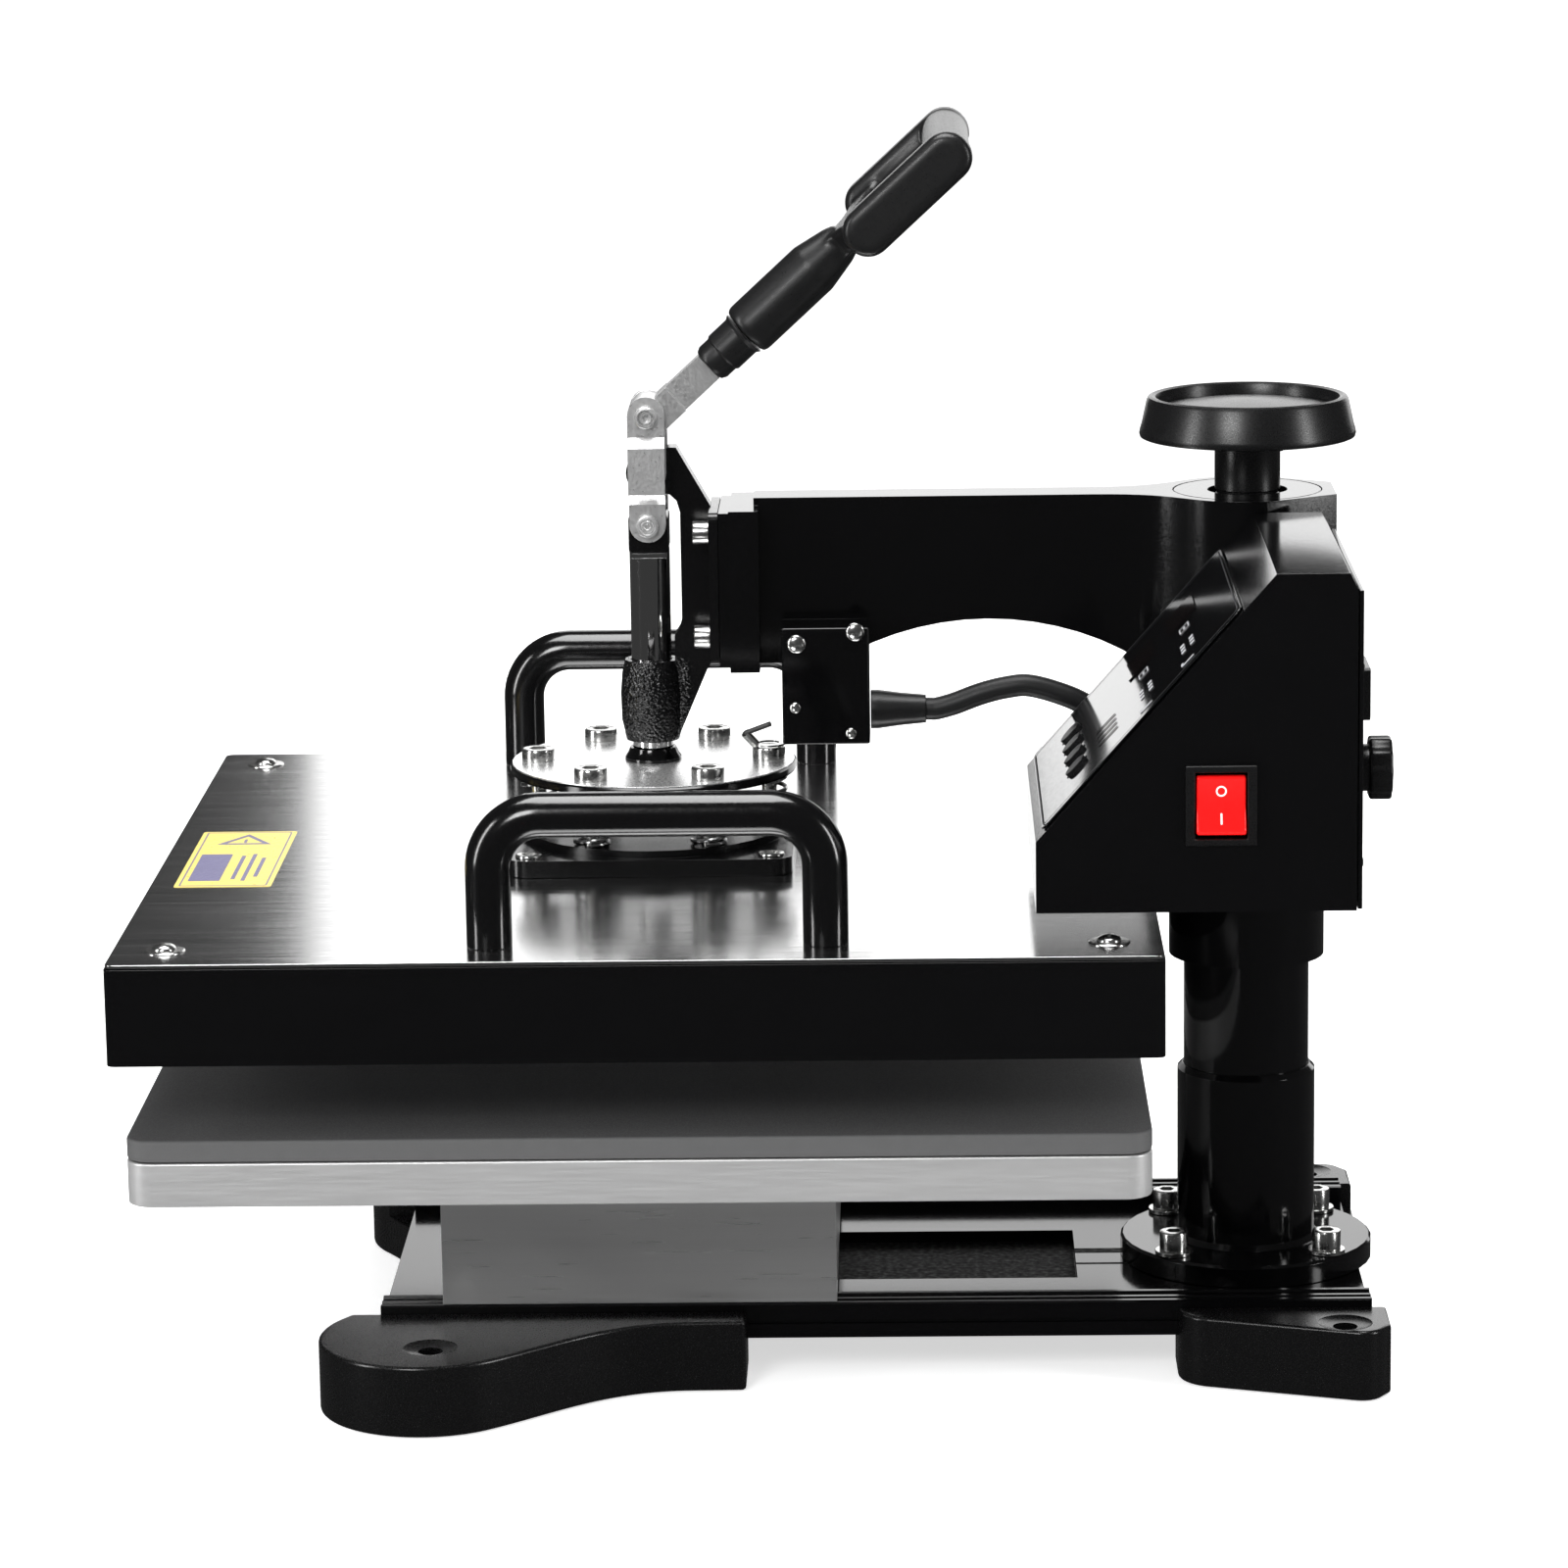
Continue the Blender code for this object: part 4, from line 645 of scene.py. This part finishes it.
def triangle(middle, radius):
    """An equilateral triangle that points to -X."""
    return [(middle[0] + radius * cos(a), middle[1] + radius * sin(a)) for a in (pi, 5 * pi / 3, pi / 3)]


def sticker():
    """A generic hot-surface label: a frame, a triangle, a block and three lines, with no words."""
    x0, x1, y0, y1 = -0.035, 0.066, SHAFT.y - 0.185, SHAFT.y - 0.147
    middle = ((x0 + x1) / 2, (y0 + y1) / 2)
    top = SHEET_TOP
    flat = Matrix.Identity(4)

    def film(name, outline, made, level, holes=()):
        plate(name, outline, top + level, top + level + 0.00012, flat, made, "press", "brushed_steel", holes)

    half = ((x1 - x0) / 2, (y1 - y0) / 2)
    film("label_film", rounded(*half, 0.0015, middle), YELLOW_FILM, 0.00002)
    outer = rounded(half[0] - 0.0018, half[1] - 0.0018, 0.001, middle)
    inner = rounded(half[0] - 0.0024, half[1] - 0.0024, 0.0008, middle)
    film("label_frame", outer, VIOLET_INK, 0.00010, [inner])
    sign = (x0 + 0.018, middle[1])
    film("label_triangle", triangle(sign, 0.0125), VIOLET_INK, 0.00010, [triangle(sign, 0.0085)])
    film("label_mark", rounded(0.0030, 0.0006, 0.0005, sign), VIOLET_INK, 0.00010)
    text_x = x1 - 0.0345
    film("label_block", rounded(0.0240, 0.0062, 0.0008, (text_x, middle[1] - 0.0085)), VIOLET_INK, 0.00010)
    for row, length in enumerate((0.021, 0.024, 0.017)):
        bar = rounded(length, 0.0008, 0.0003, (text_x, middle[1] + 0.0025 + 0.0042 * row))
        film(f"label_line_{row + 1}", bar, VIOLET_INK, 0.00010)


# Lever

def lever_matrix():
    """Turns x to the machine's x, y to the way up the lever and z to the square of both."""
    c, s = cos(LEVER_ANGLE), sin(LEVER_ANGLE)
    turn = Matrix(((1, 0, 0, 0), (0, c, -s, 0), (0, s, c, 0), (0, 0, 0, 1)))
    return Matrix.Translation(CRANK_PIN) @ turn @ Matrix.Translation((0, 0, -LEVER_DROP))


def lever_handle():
    """One rubber moulding: a round grip that opens into a stirrup with two long pads."""
    view = lever_matrix()
    forms = []
    grip = [
        (0, 0.1050), (0.0070, 0.1040), (0.0084, 0.1000), (0.0092, 0.0960), (0.0106, 0.0890), (0.0110, 0.0870),
        (0.0110, 0.0530), (0.0106, 0.0512), (0.0096, 0.0503), (0, 0.0503),
    ]
    bm = lathe(grip, 48)
    bmesh.ops.transform(bm, matrix=Matrix.Rotation(-pi / 2, 4, "X"), verts=bm.verts)
    forms.append(bm)
    flat = Matrix.Identity(4)
    right = [(0.0072, 0.0930), (0.0085, 0.1010), (0.0160, 0.1060), (LOOP_X - 0.0090, 0.1115)]
    right += [(LOOP_X, 0.1150), (LOOP_X + 0.0030, 0.1200)]
    right += arc((LOOP_X - 0.0060, 0.1560), 0.0090, 0, 90, 6)
    hole = [(LOOP_X - 0.0080, 0.1500), (LOOP_X - 0.0072, 0.1260), (LOOP_X - 0.0105, 0.1215)]
    hole += [(0.0240, 0.1160), (0.0060, 0.1105)]
    forms.append(plate_mesh(right + mirrored(right), -0.0055, 0.0055, flat, [hole + mirrored(hole)], 0.0015))
    side_view = Matrix(((0, 0, 1, 0), (1, 0, 0, 0), (0, 1, 0, 0), (0, 0, 0, 1)))
    bar = [(0.1576 + 0.0092 * cos(a), 0.0092 * sin(a)) for a in (2 * pi * i / 32 for i in range(32))]
    forms.append(plate_mesh(bar, -LOOP_X, LOOP_X, side_view))
    for side in (-1, 1):
        pad = rounded(0.0302, 0.00975, 0.0094, (0.1372, 0), 10)
        low, high = sorted((side * (LOOP_X - 0.0070), side * (LOOP_X + 0.0070)))
        forms.append(plate_mesh(pad, low, high, side_view, edge=0.0035))

    whole = bmesh.new()
    for form in forms:
        mesh = bpy.data.meshes.new("form")
        bmesh.ops.recalc_face_normals(form, faces=form.faces)
        form.to_mesh(mesh)
        form.free()
        whole.from_mesh(mesh)
    bmesh.ops.transform(whole, matrix=view, verts=whole.verts)
    mesh = bpy.data.meshes.new("lever_rubber")
    whole.to_mesh(mesh)
    whole.free()
    helper = bpy.data.objects.new("form", mesh)
    bpy.context.scene.collection.objects.link(helper)
    remesh = helper.modifiers.new("Remesh", "REMESH")
    remesh.mode = "VOXEL"
    remesh.voxel_size = 0.0008
    smooth = helper.modifiers.new("Smooth", "SMOOTH")
    smooth.factor = 0.5
    smooth.iterations = 7
    bpy.context.view_layer.update()
    graph = bpy.context.evaluated_depsgraph_get()
    moulded = bpy.data.meshes.new_from_object(helper.evaluated_get(graph))
    bpy.data.objects.remove(helper)
    moulded.shade_smooth()
    obj = bpy.data.objects.new("lever_rubber", moulded)
    bpy.context.scene.collection.objects.link(obj)
    dress(obj, BLACK_RUBBER)
    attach(obj, "lever")
    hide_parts("lever_handle")


# Pressure knob

def pressure_knob():
    low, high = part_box("pressure_knob")
    r = (high.x - low.x) / 2
    top = high.z - low.z
    rim = top - 0.0165
    profile = [
        (0, top - 0.0016),
        (r * 0.60, top - 0.0036),
        (r * 0.795, top - 0.0048),
        (r * 0.80, top - 0.0056),
        (r * 0.825, top - 0.0056),
        (r * 0.835, top - 0.0022),
        (r * 0.85, top - 0.0006),
        (r * 0.885, top - 0.0001),
        (r * 0.915, top - 0.0005),
        (r * 0.932, top - 0.0018),
        (r * 0.975, rim + 0.0060),
        (r * 0.995, rim + 0.0030),
        (r, rim + 0.0016),
        (r * 0.992, rim + 0.0004),
        (r * 0.97, rim),
        (0.0150, rim - 0.0003),
        (0.0136, rim - 0.0010),
        (0.0129, rim - 0.0024),
        (0.0129, 0.0056),
        (0.0122, 0.0050),
        (0.0122, 0.0040),
        (0.0129, 0.0034),
        (0.0129, 0),
        (0, 0),
    ]
    spot = (COLUMN.x, COLUMN.y, low.z)
    knob = turned("knob_moulding", profile, BLACK_PLASTIC, "knob", spot, steps=96)
    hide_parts("pressure_knob")
    screw = cap_screw(0.0022, 0.0012)
    spot = (0, COLUMN.y + 0.0127, high.z - 0.0205)
    put("knob_set_screw", screw, SCREW_STEEL, "knob", spot, (0, 1, 0))


# Base

def rail(name, side):
    """An extrusion with a ribbed top and a line along its side."""
    low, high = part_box(name)
    outer, inner = (high.x, low.x) if side > 0 else (low.x, high.x)

    def at(inset, z):
        return outer - side * inset, z

    width = abs(outer - inner)
    z0, z1 = low.z, high.z
    outline = [
        at(0, z0), at(0, z0 + 0.0056), at(0.0007, z0 + 0.0060), at(0.0007, z0 + 0.0066), at(0, z0 + 0.0070),
        at(0, z1 - 0.0006), at(0.0006, z1), at(0.0024, z1), at(0.0028, z1 - 0.0009), at(0.0060, z1 - 0.0009),
        at(0.0063, z1 - 0.0002), at(0.0082, z1 - 0.0002), at(0.0085, z1 - 0.0009),
        at(width - 0.0030, z1 - 0.0009), at(width - 0.0026, z1), at(width - 0.0005, z1),
        at(width, z1 - 0.0005), at(width, z0),
        at(width - 0.0025, z0), at(width - 0.0025, z1 - 0.0035), at(0.0025, z1 - 0.0035), at(0.0025, z0),
    ]
    made = plate(f"{name}_section", outline, -high.y, -low.y, FRONT_VIEW, BLACK_BASE, "base", "black_paint")
    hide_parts(name)


def bezier(start, first, second, end, steps):
    """The points after the start on a cubic curve with two handles."""
    points = []
    for i in range(1, steps + 1):
        s = i / steps
        spot = start * (1 - s) ** 3 + first * (3 * s * (1 - s) ** 2)
        spot += second * (3 * s * s * (1 - s)) + end * s**3
        points.append((spot.x, spot.y))
    return points


def foot_outline(front):
    """Half of the machine's footprint: a lobe with an arm to the rear, or a corner block."""
    inner = 0.066
    if front:
        middle, radius = (0.1145, SHAFT.y - 0.0865), 0.042
        lobe = arc(middle, radius, -126, 38, 60)
        leave = Vector((-sin(radians(38)), cos(radians(38)))) * 0.030
        start, end = Vector(lobe[-1]), Vector((0.1015, SHAFT.y + 0.012))
        flank = bezier(start, start + leave, end + Vector((0.002, -0.032)), end, 32)
        tail = arc((0.0990, SHAFT.y + 0.0340), 0.002, 0, 90, 6)
        return [(inner, SHAFT.y - 0.1065), *lobe, *flank, *tail, (inner, SHAFT.y + 0.036)]
    block = arc((0.0862, SHAFT.y + 0.2205), 0.016, -90, -19, 20)
    block += arc((0.1113, SHAFT.y + 0.2740), 0.009, -19, 62, 20)
    return [(inner, SHAFT.y + 0.2045), *block, (0.1100, SHAFT.y + 0.2855), (inner, SHAFT.y + 0.2855)]


def feet():
    """The four cast feet, each with a step for its rail and a dished bolt hole."""
    rail_low, rail_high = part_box("base_rail_right")
    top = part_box("foot_front_right")[1].z
    gap, bore_r = 0.0003, 0.0048
    dish_profile = [(0, 0.01), (0.0112, 0.01), (0.0105, -0.0002), (0.0085, -0.0011), (bore_r, -0.0015)]
    dish_profile.append((0, -0.0015))
    for place, hole in (("front", (0.131, SHAFT.y - 0.084)), ("rear", (0.108, SHAFT.y + 0.268))):
        for label, side in (("left", -1), ("right", 1)):
            outline = foot_outline(place == "front")
            if side < 0:
                outline = mirrored(outline)
            body = plate_mesh(outline, 0, top, Matrix.Identity(4), edge=0.0014)
            step = bmesh.new()
            bmesh.ops.create_cube(step, size=1)
            bmesh.ops.scale(step, vec=(rail_high.x + gap, 1, 0.04), verts=step.verts)
            middle = side * (rail_high.x + gap) / 2
            bmesh.ops.translate(step, vec=(middle, 0, rail_low.z - gap + 0.02), verts=step.verts)
            bore = prism(32, bore_r, -0.01, 0.05)
            dish = lathe(dish_profile)
            bmesh.ops.translate(bore, vec=(side * hole[0], hole[1], 0), verts=bore.verts)
            bmesh.ops.translate(dish, vec=(side * hole[0], hole[1], top), verts=dish.verts)
            mesh = carved(body, [step, bore, dish])
            foot = place_mesh(f"foot_casting_{place}_{label}", mesh, BLACK_FEET, "base")
            normals = foot.modifiers.new("Normals", "WEIGHTED_NORMAL")
            normals.keep_sharp = True
            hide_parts(f"foot_{place}_{label}")


def base_details():
    rail("base_rail_left", -1)
    rail("base_rail_right", 1)
    feet()
    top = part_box("base_plate")[1].z
    flat = Matrix.Identity(4)
    # Painted shade: a thin matt black sheet on the floor of the channel in the base plate, so that the slot
    # shows as dark shade
    slot_shade_outline = rounded(0.0334, 0.1134, 0.0006, (0, SHAFT.y + 0.0535), 2)
    plate("slot_shade_sheet", slot_shade_outline, top - 0.00476, top - 0.0046, flat, MATT_BLACK, "base", "black_paint")
    front, rear = SHAFT.y + 0.167, COLUMN.y - 0.048
    for index, (x, half) in enumerate(((-0.004, 0.0030), (0.0140, 0.0009)), 1):
        strip = rounded(half, (rear - front) / 2, min(half, 0.0005), (x, (front + rear) / 2), 2)
        name = f"plate_seam_{index}"
        plate(name, strip, top + 0.00002, top + 0.00012, flat, MATT_BLACK, "base", "black_paint")


# Control box

def slope_frame():
    """Turns x to the machine's x, y up the sloping panel and z out of it."""
    along = Vector((0, PANEL_HIGH.y - PANEL_LOW.y, PANEL_HIGH.z - PANEL_LOW.z)).normalized()
    normal = Vector((0, -along.z, along.y))
    view = Matrix.Identity(4)
    view.col[0][:3] = (1, 0, 0)
    view.col[1][:3] = along
    view.col[2][:3] = normal
    middle = (PANEL_LOW + PANEL_HIGH) / 2
    view.translation = middle + normal * 0.0005
    return view


def control_panel_details():
    view = slope_frame()
    half_x, half_y = 0.0668, 0.0550

    def film(name, outline, made, low, high, holes=()):
        plate(name, outline, low, high, view, made, "arm", "black_plastic", holes)

    def grey_mark(name, outline, holes=()):
        film(name, outline, GREY_INK, 0.0001, 0.0002, holes)

    film("panel_line", rounded(half_x - 0.0012, half_y - 0.0012, 0.003), DIM_INK, 0.00012, 0.0002,
         [rounded(half_x - 0.0017, half_y - 0.0017, 0.0026)])
    for row, up in enumerate((0.0290, 0.0060), 1):
        film(f"display_{row}", rounded(0.0150, 0.0075, 0.001, (-0.0260, up)), DARK_GLASS, 0.0001, 0.0005)
        inside = rounded(0.0036, 0.0020, 0.0004, (0.0010, up))
        grey_mark(f"mode_box_{row}", rounded(0.0042, 0.0026, 0.0006, (0.0010, up)), [inside])
        grey_mark(f"mode_mark_{row}", rounded(0.0020, 0.0005, 0.0002, (0.0010, up)))
        for index in range(6):
            spot = (0.0270 + 0.0055 * (index % 3), up - 0.0030 + 0.0048 * (index // 3))
            grey_mark(f"scale_mark_{row}_{index + 1}", rounded(0.0016, 0.0011, 0.0003, spot))
        grey_mark(f"unit_mark_{row}", rounded(0.0009, 0.0030, 0.0003, (0.0590, up - 0.0020)))
        grey_mark(f"unit_foot_{row}", rounded(0.0024, 0.0006, 0.0002, (0.0570, up - 0.0050)))
    for index in range(4):
        x = 0.0130 + 0.0080 * index
        stroke = [(x, -0.0215), (x + 0.0016, -0.0215), (x + 0.0030, -0.0110), (x + 0.0014, -0.0110)]
        film(f"panel_stroke_{index + 1}", stroke, MATT_BLACK, 0.0001, 0.0002)


def rocker_marks():
    """The circle and the line on the power rocker, on its two sloping halves."""
    pivot = Vector(joints["power_rocker_tilt"]["pos_m"])
    tilt = radians(joints["power_rocker_tilt"]["range_deg"][1] / 2)
    dip, ridge, half = 0.0020, 0.0036, 0.0102
    for name, side in (("circle", 1), ("line", -1)):
        slope = atan2(ridge - dip, half) * side
        turn = tilt - slope
        local = Vector(((dip + ridge) / 2 + 0.00002, 0, side * half / 2))
        spot = pivot + Matrix.Rotation(-tilt, 3, "Y") @ local
        normal = Vector((cos(turn), 0, sin(turn)))
        up = Vector((-sin(turn), 0, cos(turn)))
        view = Matrix.Identity(4)
        view.col[0][:3] = (0, 1, 0)
        view.col[1][:3] = up
        view.col[2][:3] = normal
        view.translation = spot
        if side > 0:
            outline, holes = arc((0, 0), 0.0020, 0, 350, 35), [arc((0, 0), 0.0014, 0, 345, 23)]
        else:
            outline, holes = rounded(0.00034, 0.0021, 0.0003, steps=2), []
        plate(f"rocker_{name}", outline, -0.00002, 0.00014, view, WHITE_INK, "rocker", "red_plastic", holes)


def fuse_knob():
    """The fuse holder at the back, with a finely fluted cap."""
    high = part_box("fuse_cap")[1]
    middle = centre("fuse_cap")
    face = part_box("control_box_back")[1].y
    lobes = 10
    outline = []
    for i in range(lobes * 8):
        angle = 2 * pi * i / (lobes * 8)
        radius = 0.0117 + 0.0005 * cos(lobes * angle)
        outline.append((middle.x + radius * cos(angle), middle.z + radius * sin(angle)))
    rear = -high.y
    made = (FRONT_VIEW, BLACK_PLASTIC, "arm", "black_plastic")
    cap = plate("fuse_cap_grip", outline, rear, rear + 0.0088, *made, edge=0.0012)
    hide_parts("fuse_cap")
    length = high.y - 0.0080 - face
    turned(
        "fuse_holder_neck",
        [(0, length), (0.0090, length), (0.0090, 0.0024), (0.0102, 0.0022), (0.0102, 0), (0, 0)],
        BLACK_PLASTIC, "arm", (middle.x, face, middle.z), (0, 1, 0),
    )


# Heater lead, held at both ends

LEAD_X = 0.020
LEAD_ROUTE = [  # x, y from the press shaft, z
    (LEAD_X, 0.1080, 0.2540), (LEAD_X, 0.1105, 0.2540), (LEAD_X, 0.1130, 0.2541), (LEAD_X, 0.1200, 0.2560),
    (LEAD_X, 0.1300, 0.2597), (LEAD_X, 0.1400, 0.2622), (LEAD_X, 0.1500, 0.2628), (LEAD_X, 0.1650, 0.2582),
    (LEAD_X, 0.1760, 0.2522), (0.0225, 0.1840, 0.2472), (0.0275, 0.1890, 0.2458), (0.0315, 0.1900, 0.2455),
    (0.0346, 0.1900, 0.2455),
]


def smooth_route(points, steps):
    """A smooth curve through the points, as Catmull-Rom spans."""
    points = [Vector(p) for p in points]
    padded = [2 * points[0] - points[1], *points, 2 * points[-1] - points[-2]]
    route = [points[0]]
    for before, start, end, after in zip(padded, padded[1:], padded[2:], padded[3:]):
        for i in range(1, steps + 1):
            t = i / steps
            square = (2 * before - 5 * start + 4 * end - after) * t * t
            cube = (3 * start - before - 3 * end + after) * t**3
            route.append(0.5 * (2 * start + (end - before) * t + square + cube))
    return route


def heater_lead():
    route = smooth_route([(x, SHAFT.y + y, z) for x, y, z in LEAD_ROUTE], 6)
    lead = tube("heater_lead", route, 0.0045, CABLE_RUBBER, "arm", sides=6)
    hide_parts("heater_cable")
    turned("lead_grommet", [(0.0046, 0.0032), (0.0060, 0.0030), (0.0068, 0.0016), (0.0068, 0), (0.0046, 0)],
           BLACK_RUBBER, "arm", (BOX_LOW.x, SHAFT.y + 0.1900, 0.2455), (-1, 0, 0))


# Studio

def camera():
    data = bpy.data.cameras.new("camera")
    data.sensor_width = 36
    data.lens = 129.5
    obj = bpy.data.objects.new("camera", data)
    bpy.context.scene.collection.objects.link(obj)
    azimuth, elevation, roll = radians(91.311), radians(11.775), radians(-0.8415)
    back = Vector((sin(azimuth) * cos(elevation), -cos(azimuth) * cos(elevation), sin(elevation)))
    level = Vector((cos(azimuth), sin(azimuth), 0))
    upward = back.cross(level)
    right = cos(roll) * level + sin(roll) * upward
    up = cos(roll) * upward - sin(roll) * level
    matrix = Matrix.Identity(4)
    for index, axis in enumerate((right, up, back)):
        matrix.col[index][:3] = axis
    matrix.translation = Vector((2.2013, SHAFT.y + 0.1022, 0.6791))
    obj.matrix_world = matrix
    bpy.context.scene.camera = obj


def area_light(name, place, target, size, power):
    data = bpy.data.lights.new(name, "AREA")
    data.shape = "RECTANGLE"
    data.size, data.size_y = size
    data.energy = power
    obj = bpy.data.objects.new(name, data)
    bpy.context.scene.collection.objects.link(obj)
    obj.location = place
    obj.rotation_euler = (Vector(target) - Vector(place)).to_track_quat("-Z", "Y").to_euler()
    obj.visible_camera = False
    return obj


def studio():
    world = bpy.data.worlds.new("studio")
    bpy.context.scene.world = world
    world.use_nodes = True
    tree = world.node_tree
    tree.nodes.clear()
    output = tree.nodes.new("ShaderNodeOutputWorld")
    backgrounds = []
    for strength in (0.55, 0.05, 1.1):  # for the light on the object, for reflections, for the camera
        background = tree.nodes.new("ShaderNodeBackground")
        background.inputs["Color"].default_value = (1, 1, 1, 1)
        background.inputs["Strength"].default_value = strength
        backgrounds.append(background)
    plain, dim, seen = backgrounds
    path = tree.nodes.new("ShaderNodeLightPath")
    glossy = tree.nodes.new("ShaderNodeMixShader")
    direct = tree.nodes.new("ShaderNodeMixShader")
    tree.links.new(path.outputs["Is Glossy Ray"], glossy.inputs["Fac"])
    tree.links.new(plain.outputs[0], glossy.inputs[1])
    tree.links.new(dim.outputs[0], glossy.inputs[2])
    tree.links.new(path.outputs["Is Camera Ray"], direct.inputs["Fac"])
    tree.links.new(glossy.outputs[0], direct.inputs[1])
    tree.links.new(seen.outputs[0], direct.inputs[2])
    tree.links.new(direct.outputs[0], output.inputs["Surface"])

    area_light("back_card", (-1.7, 0.5, 0.75), (0, 0.5, 0.2), (1.75, 1.1), 11)
    area_light("top_card", (0.1, -0.1, 1.9), (0, 0, 0.2), (1.3, 1.0), 36)
    area_light("left_strip", (0.9, -1.9, 0.75), (0, 0, 0.25), (0.35, 1.5), 18)
    area_light("right_strip", (0.9, 2.1, 0.7), (0, 0.1, 0.25), (0.3, 1.4), 16)
    area_light("front_card", (2.6, -0.9, 1.7), (0, 0, 0.2), (0.9, 0.9), 34)

    bm = bmesh.new()
    bmesh.ops.create_grid(bm, x_segments=1, y_segments=1, size=9)
    mesh = bpy.data.meshes.new("floor")
    bm.to_mesh(mesh)
    bm.free()
    floor = bpy.data.objects.new("floor", mesh)
    bpy.context.scene.collection.objects.link(floor)
    floor.location.z = cad_bounds[0][2] - 0.0005
    paint = surface("floor_paint", (0.93, 0.93, 0.93), 0.8, shade=0.01, grain=30, bump=0.0, specular=0.1)
    shader = paint.node_tree.nodes["Principled BSDF"]
    shader.inputs["Emission Color"].default_value = (1, 1, 1, 1)
    shader.inputs["Emission Strength"].default_value = 0.62
    dress(floor, paint)
    floor.visible_glossy = False
    bpy.context.scene.view_settings.view_transform = "Standard"


camera()
studio()
fasteners()
press_head()
sticker()
lever_handle()
pressure_knob()
base_details()
control_panel_details()
rocker_marks()
fuse_knob()
heater_lead()
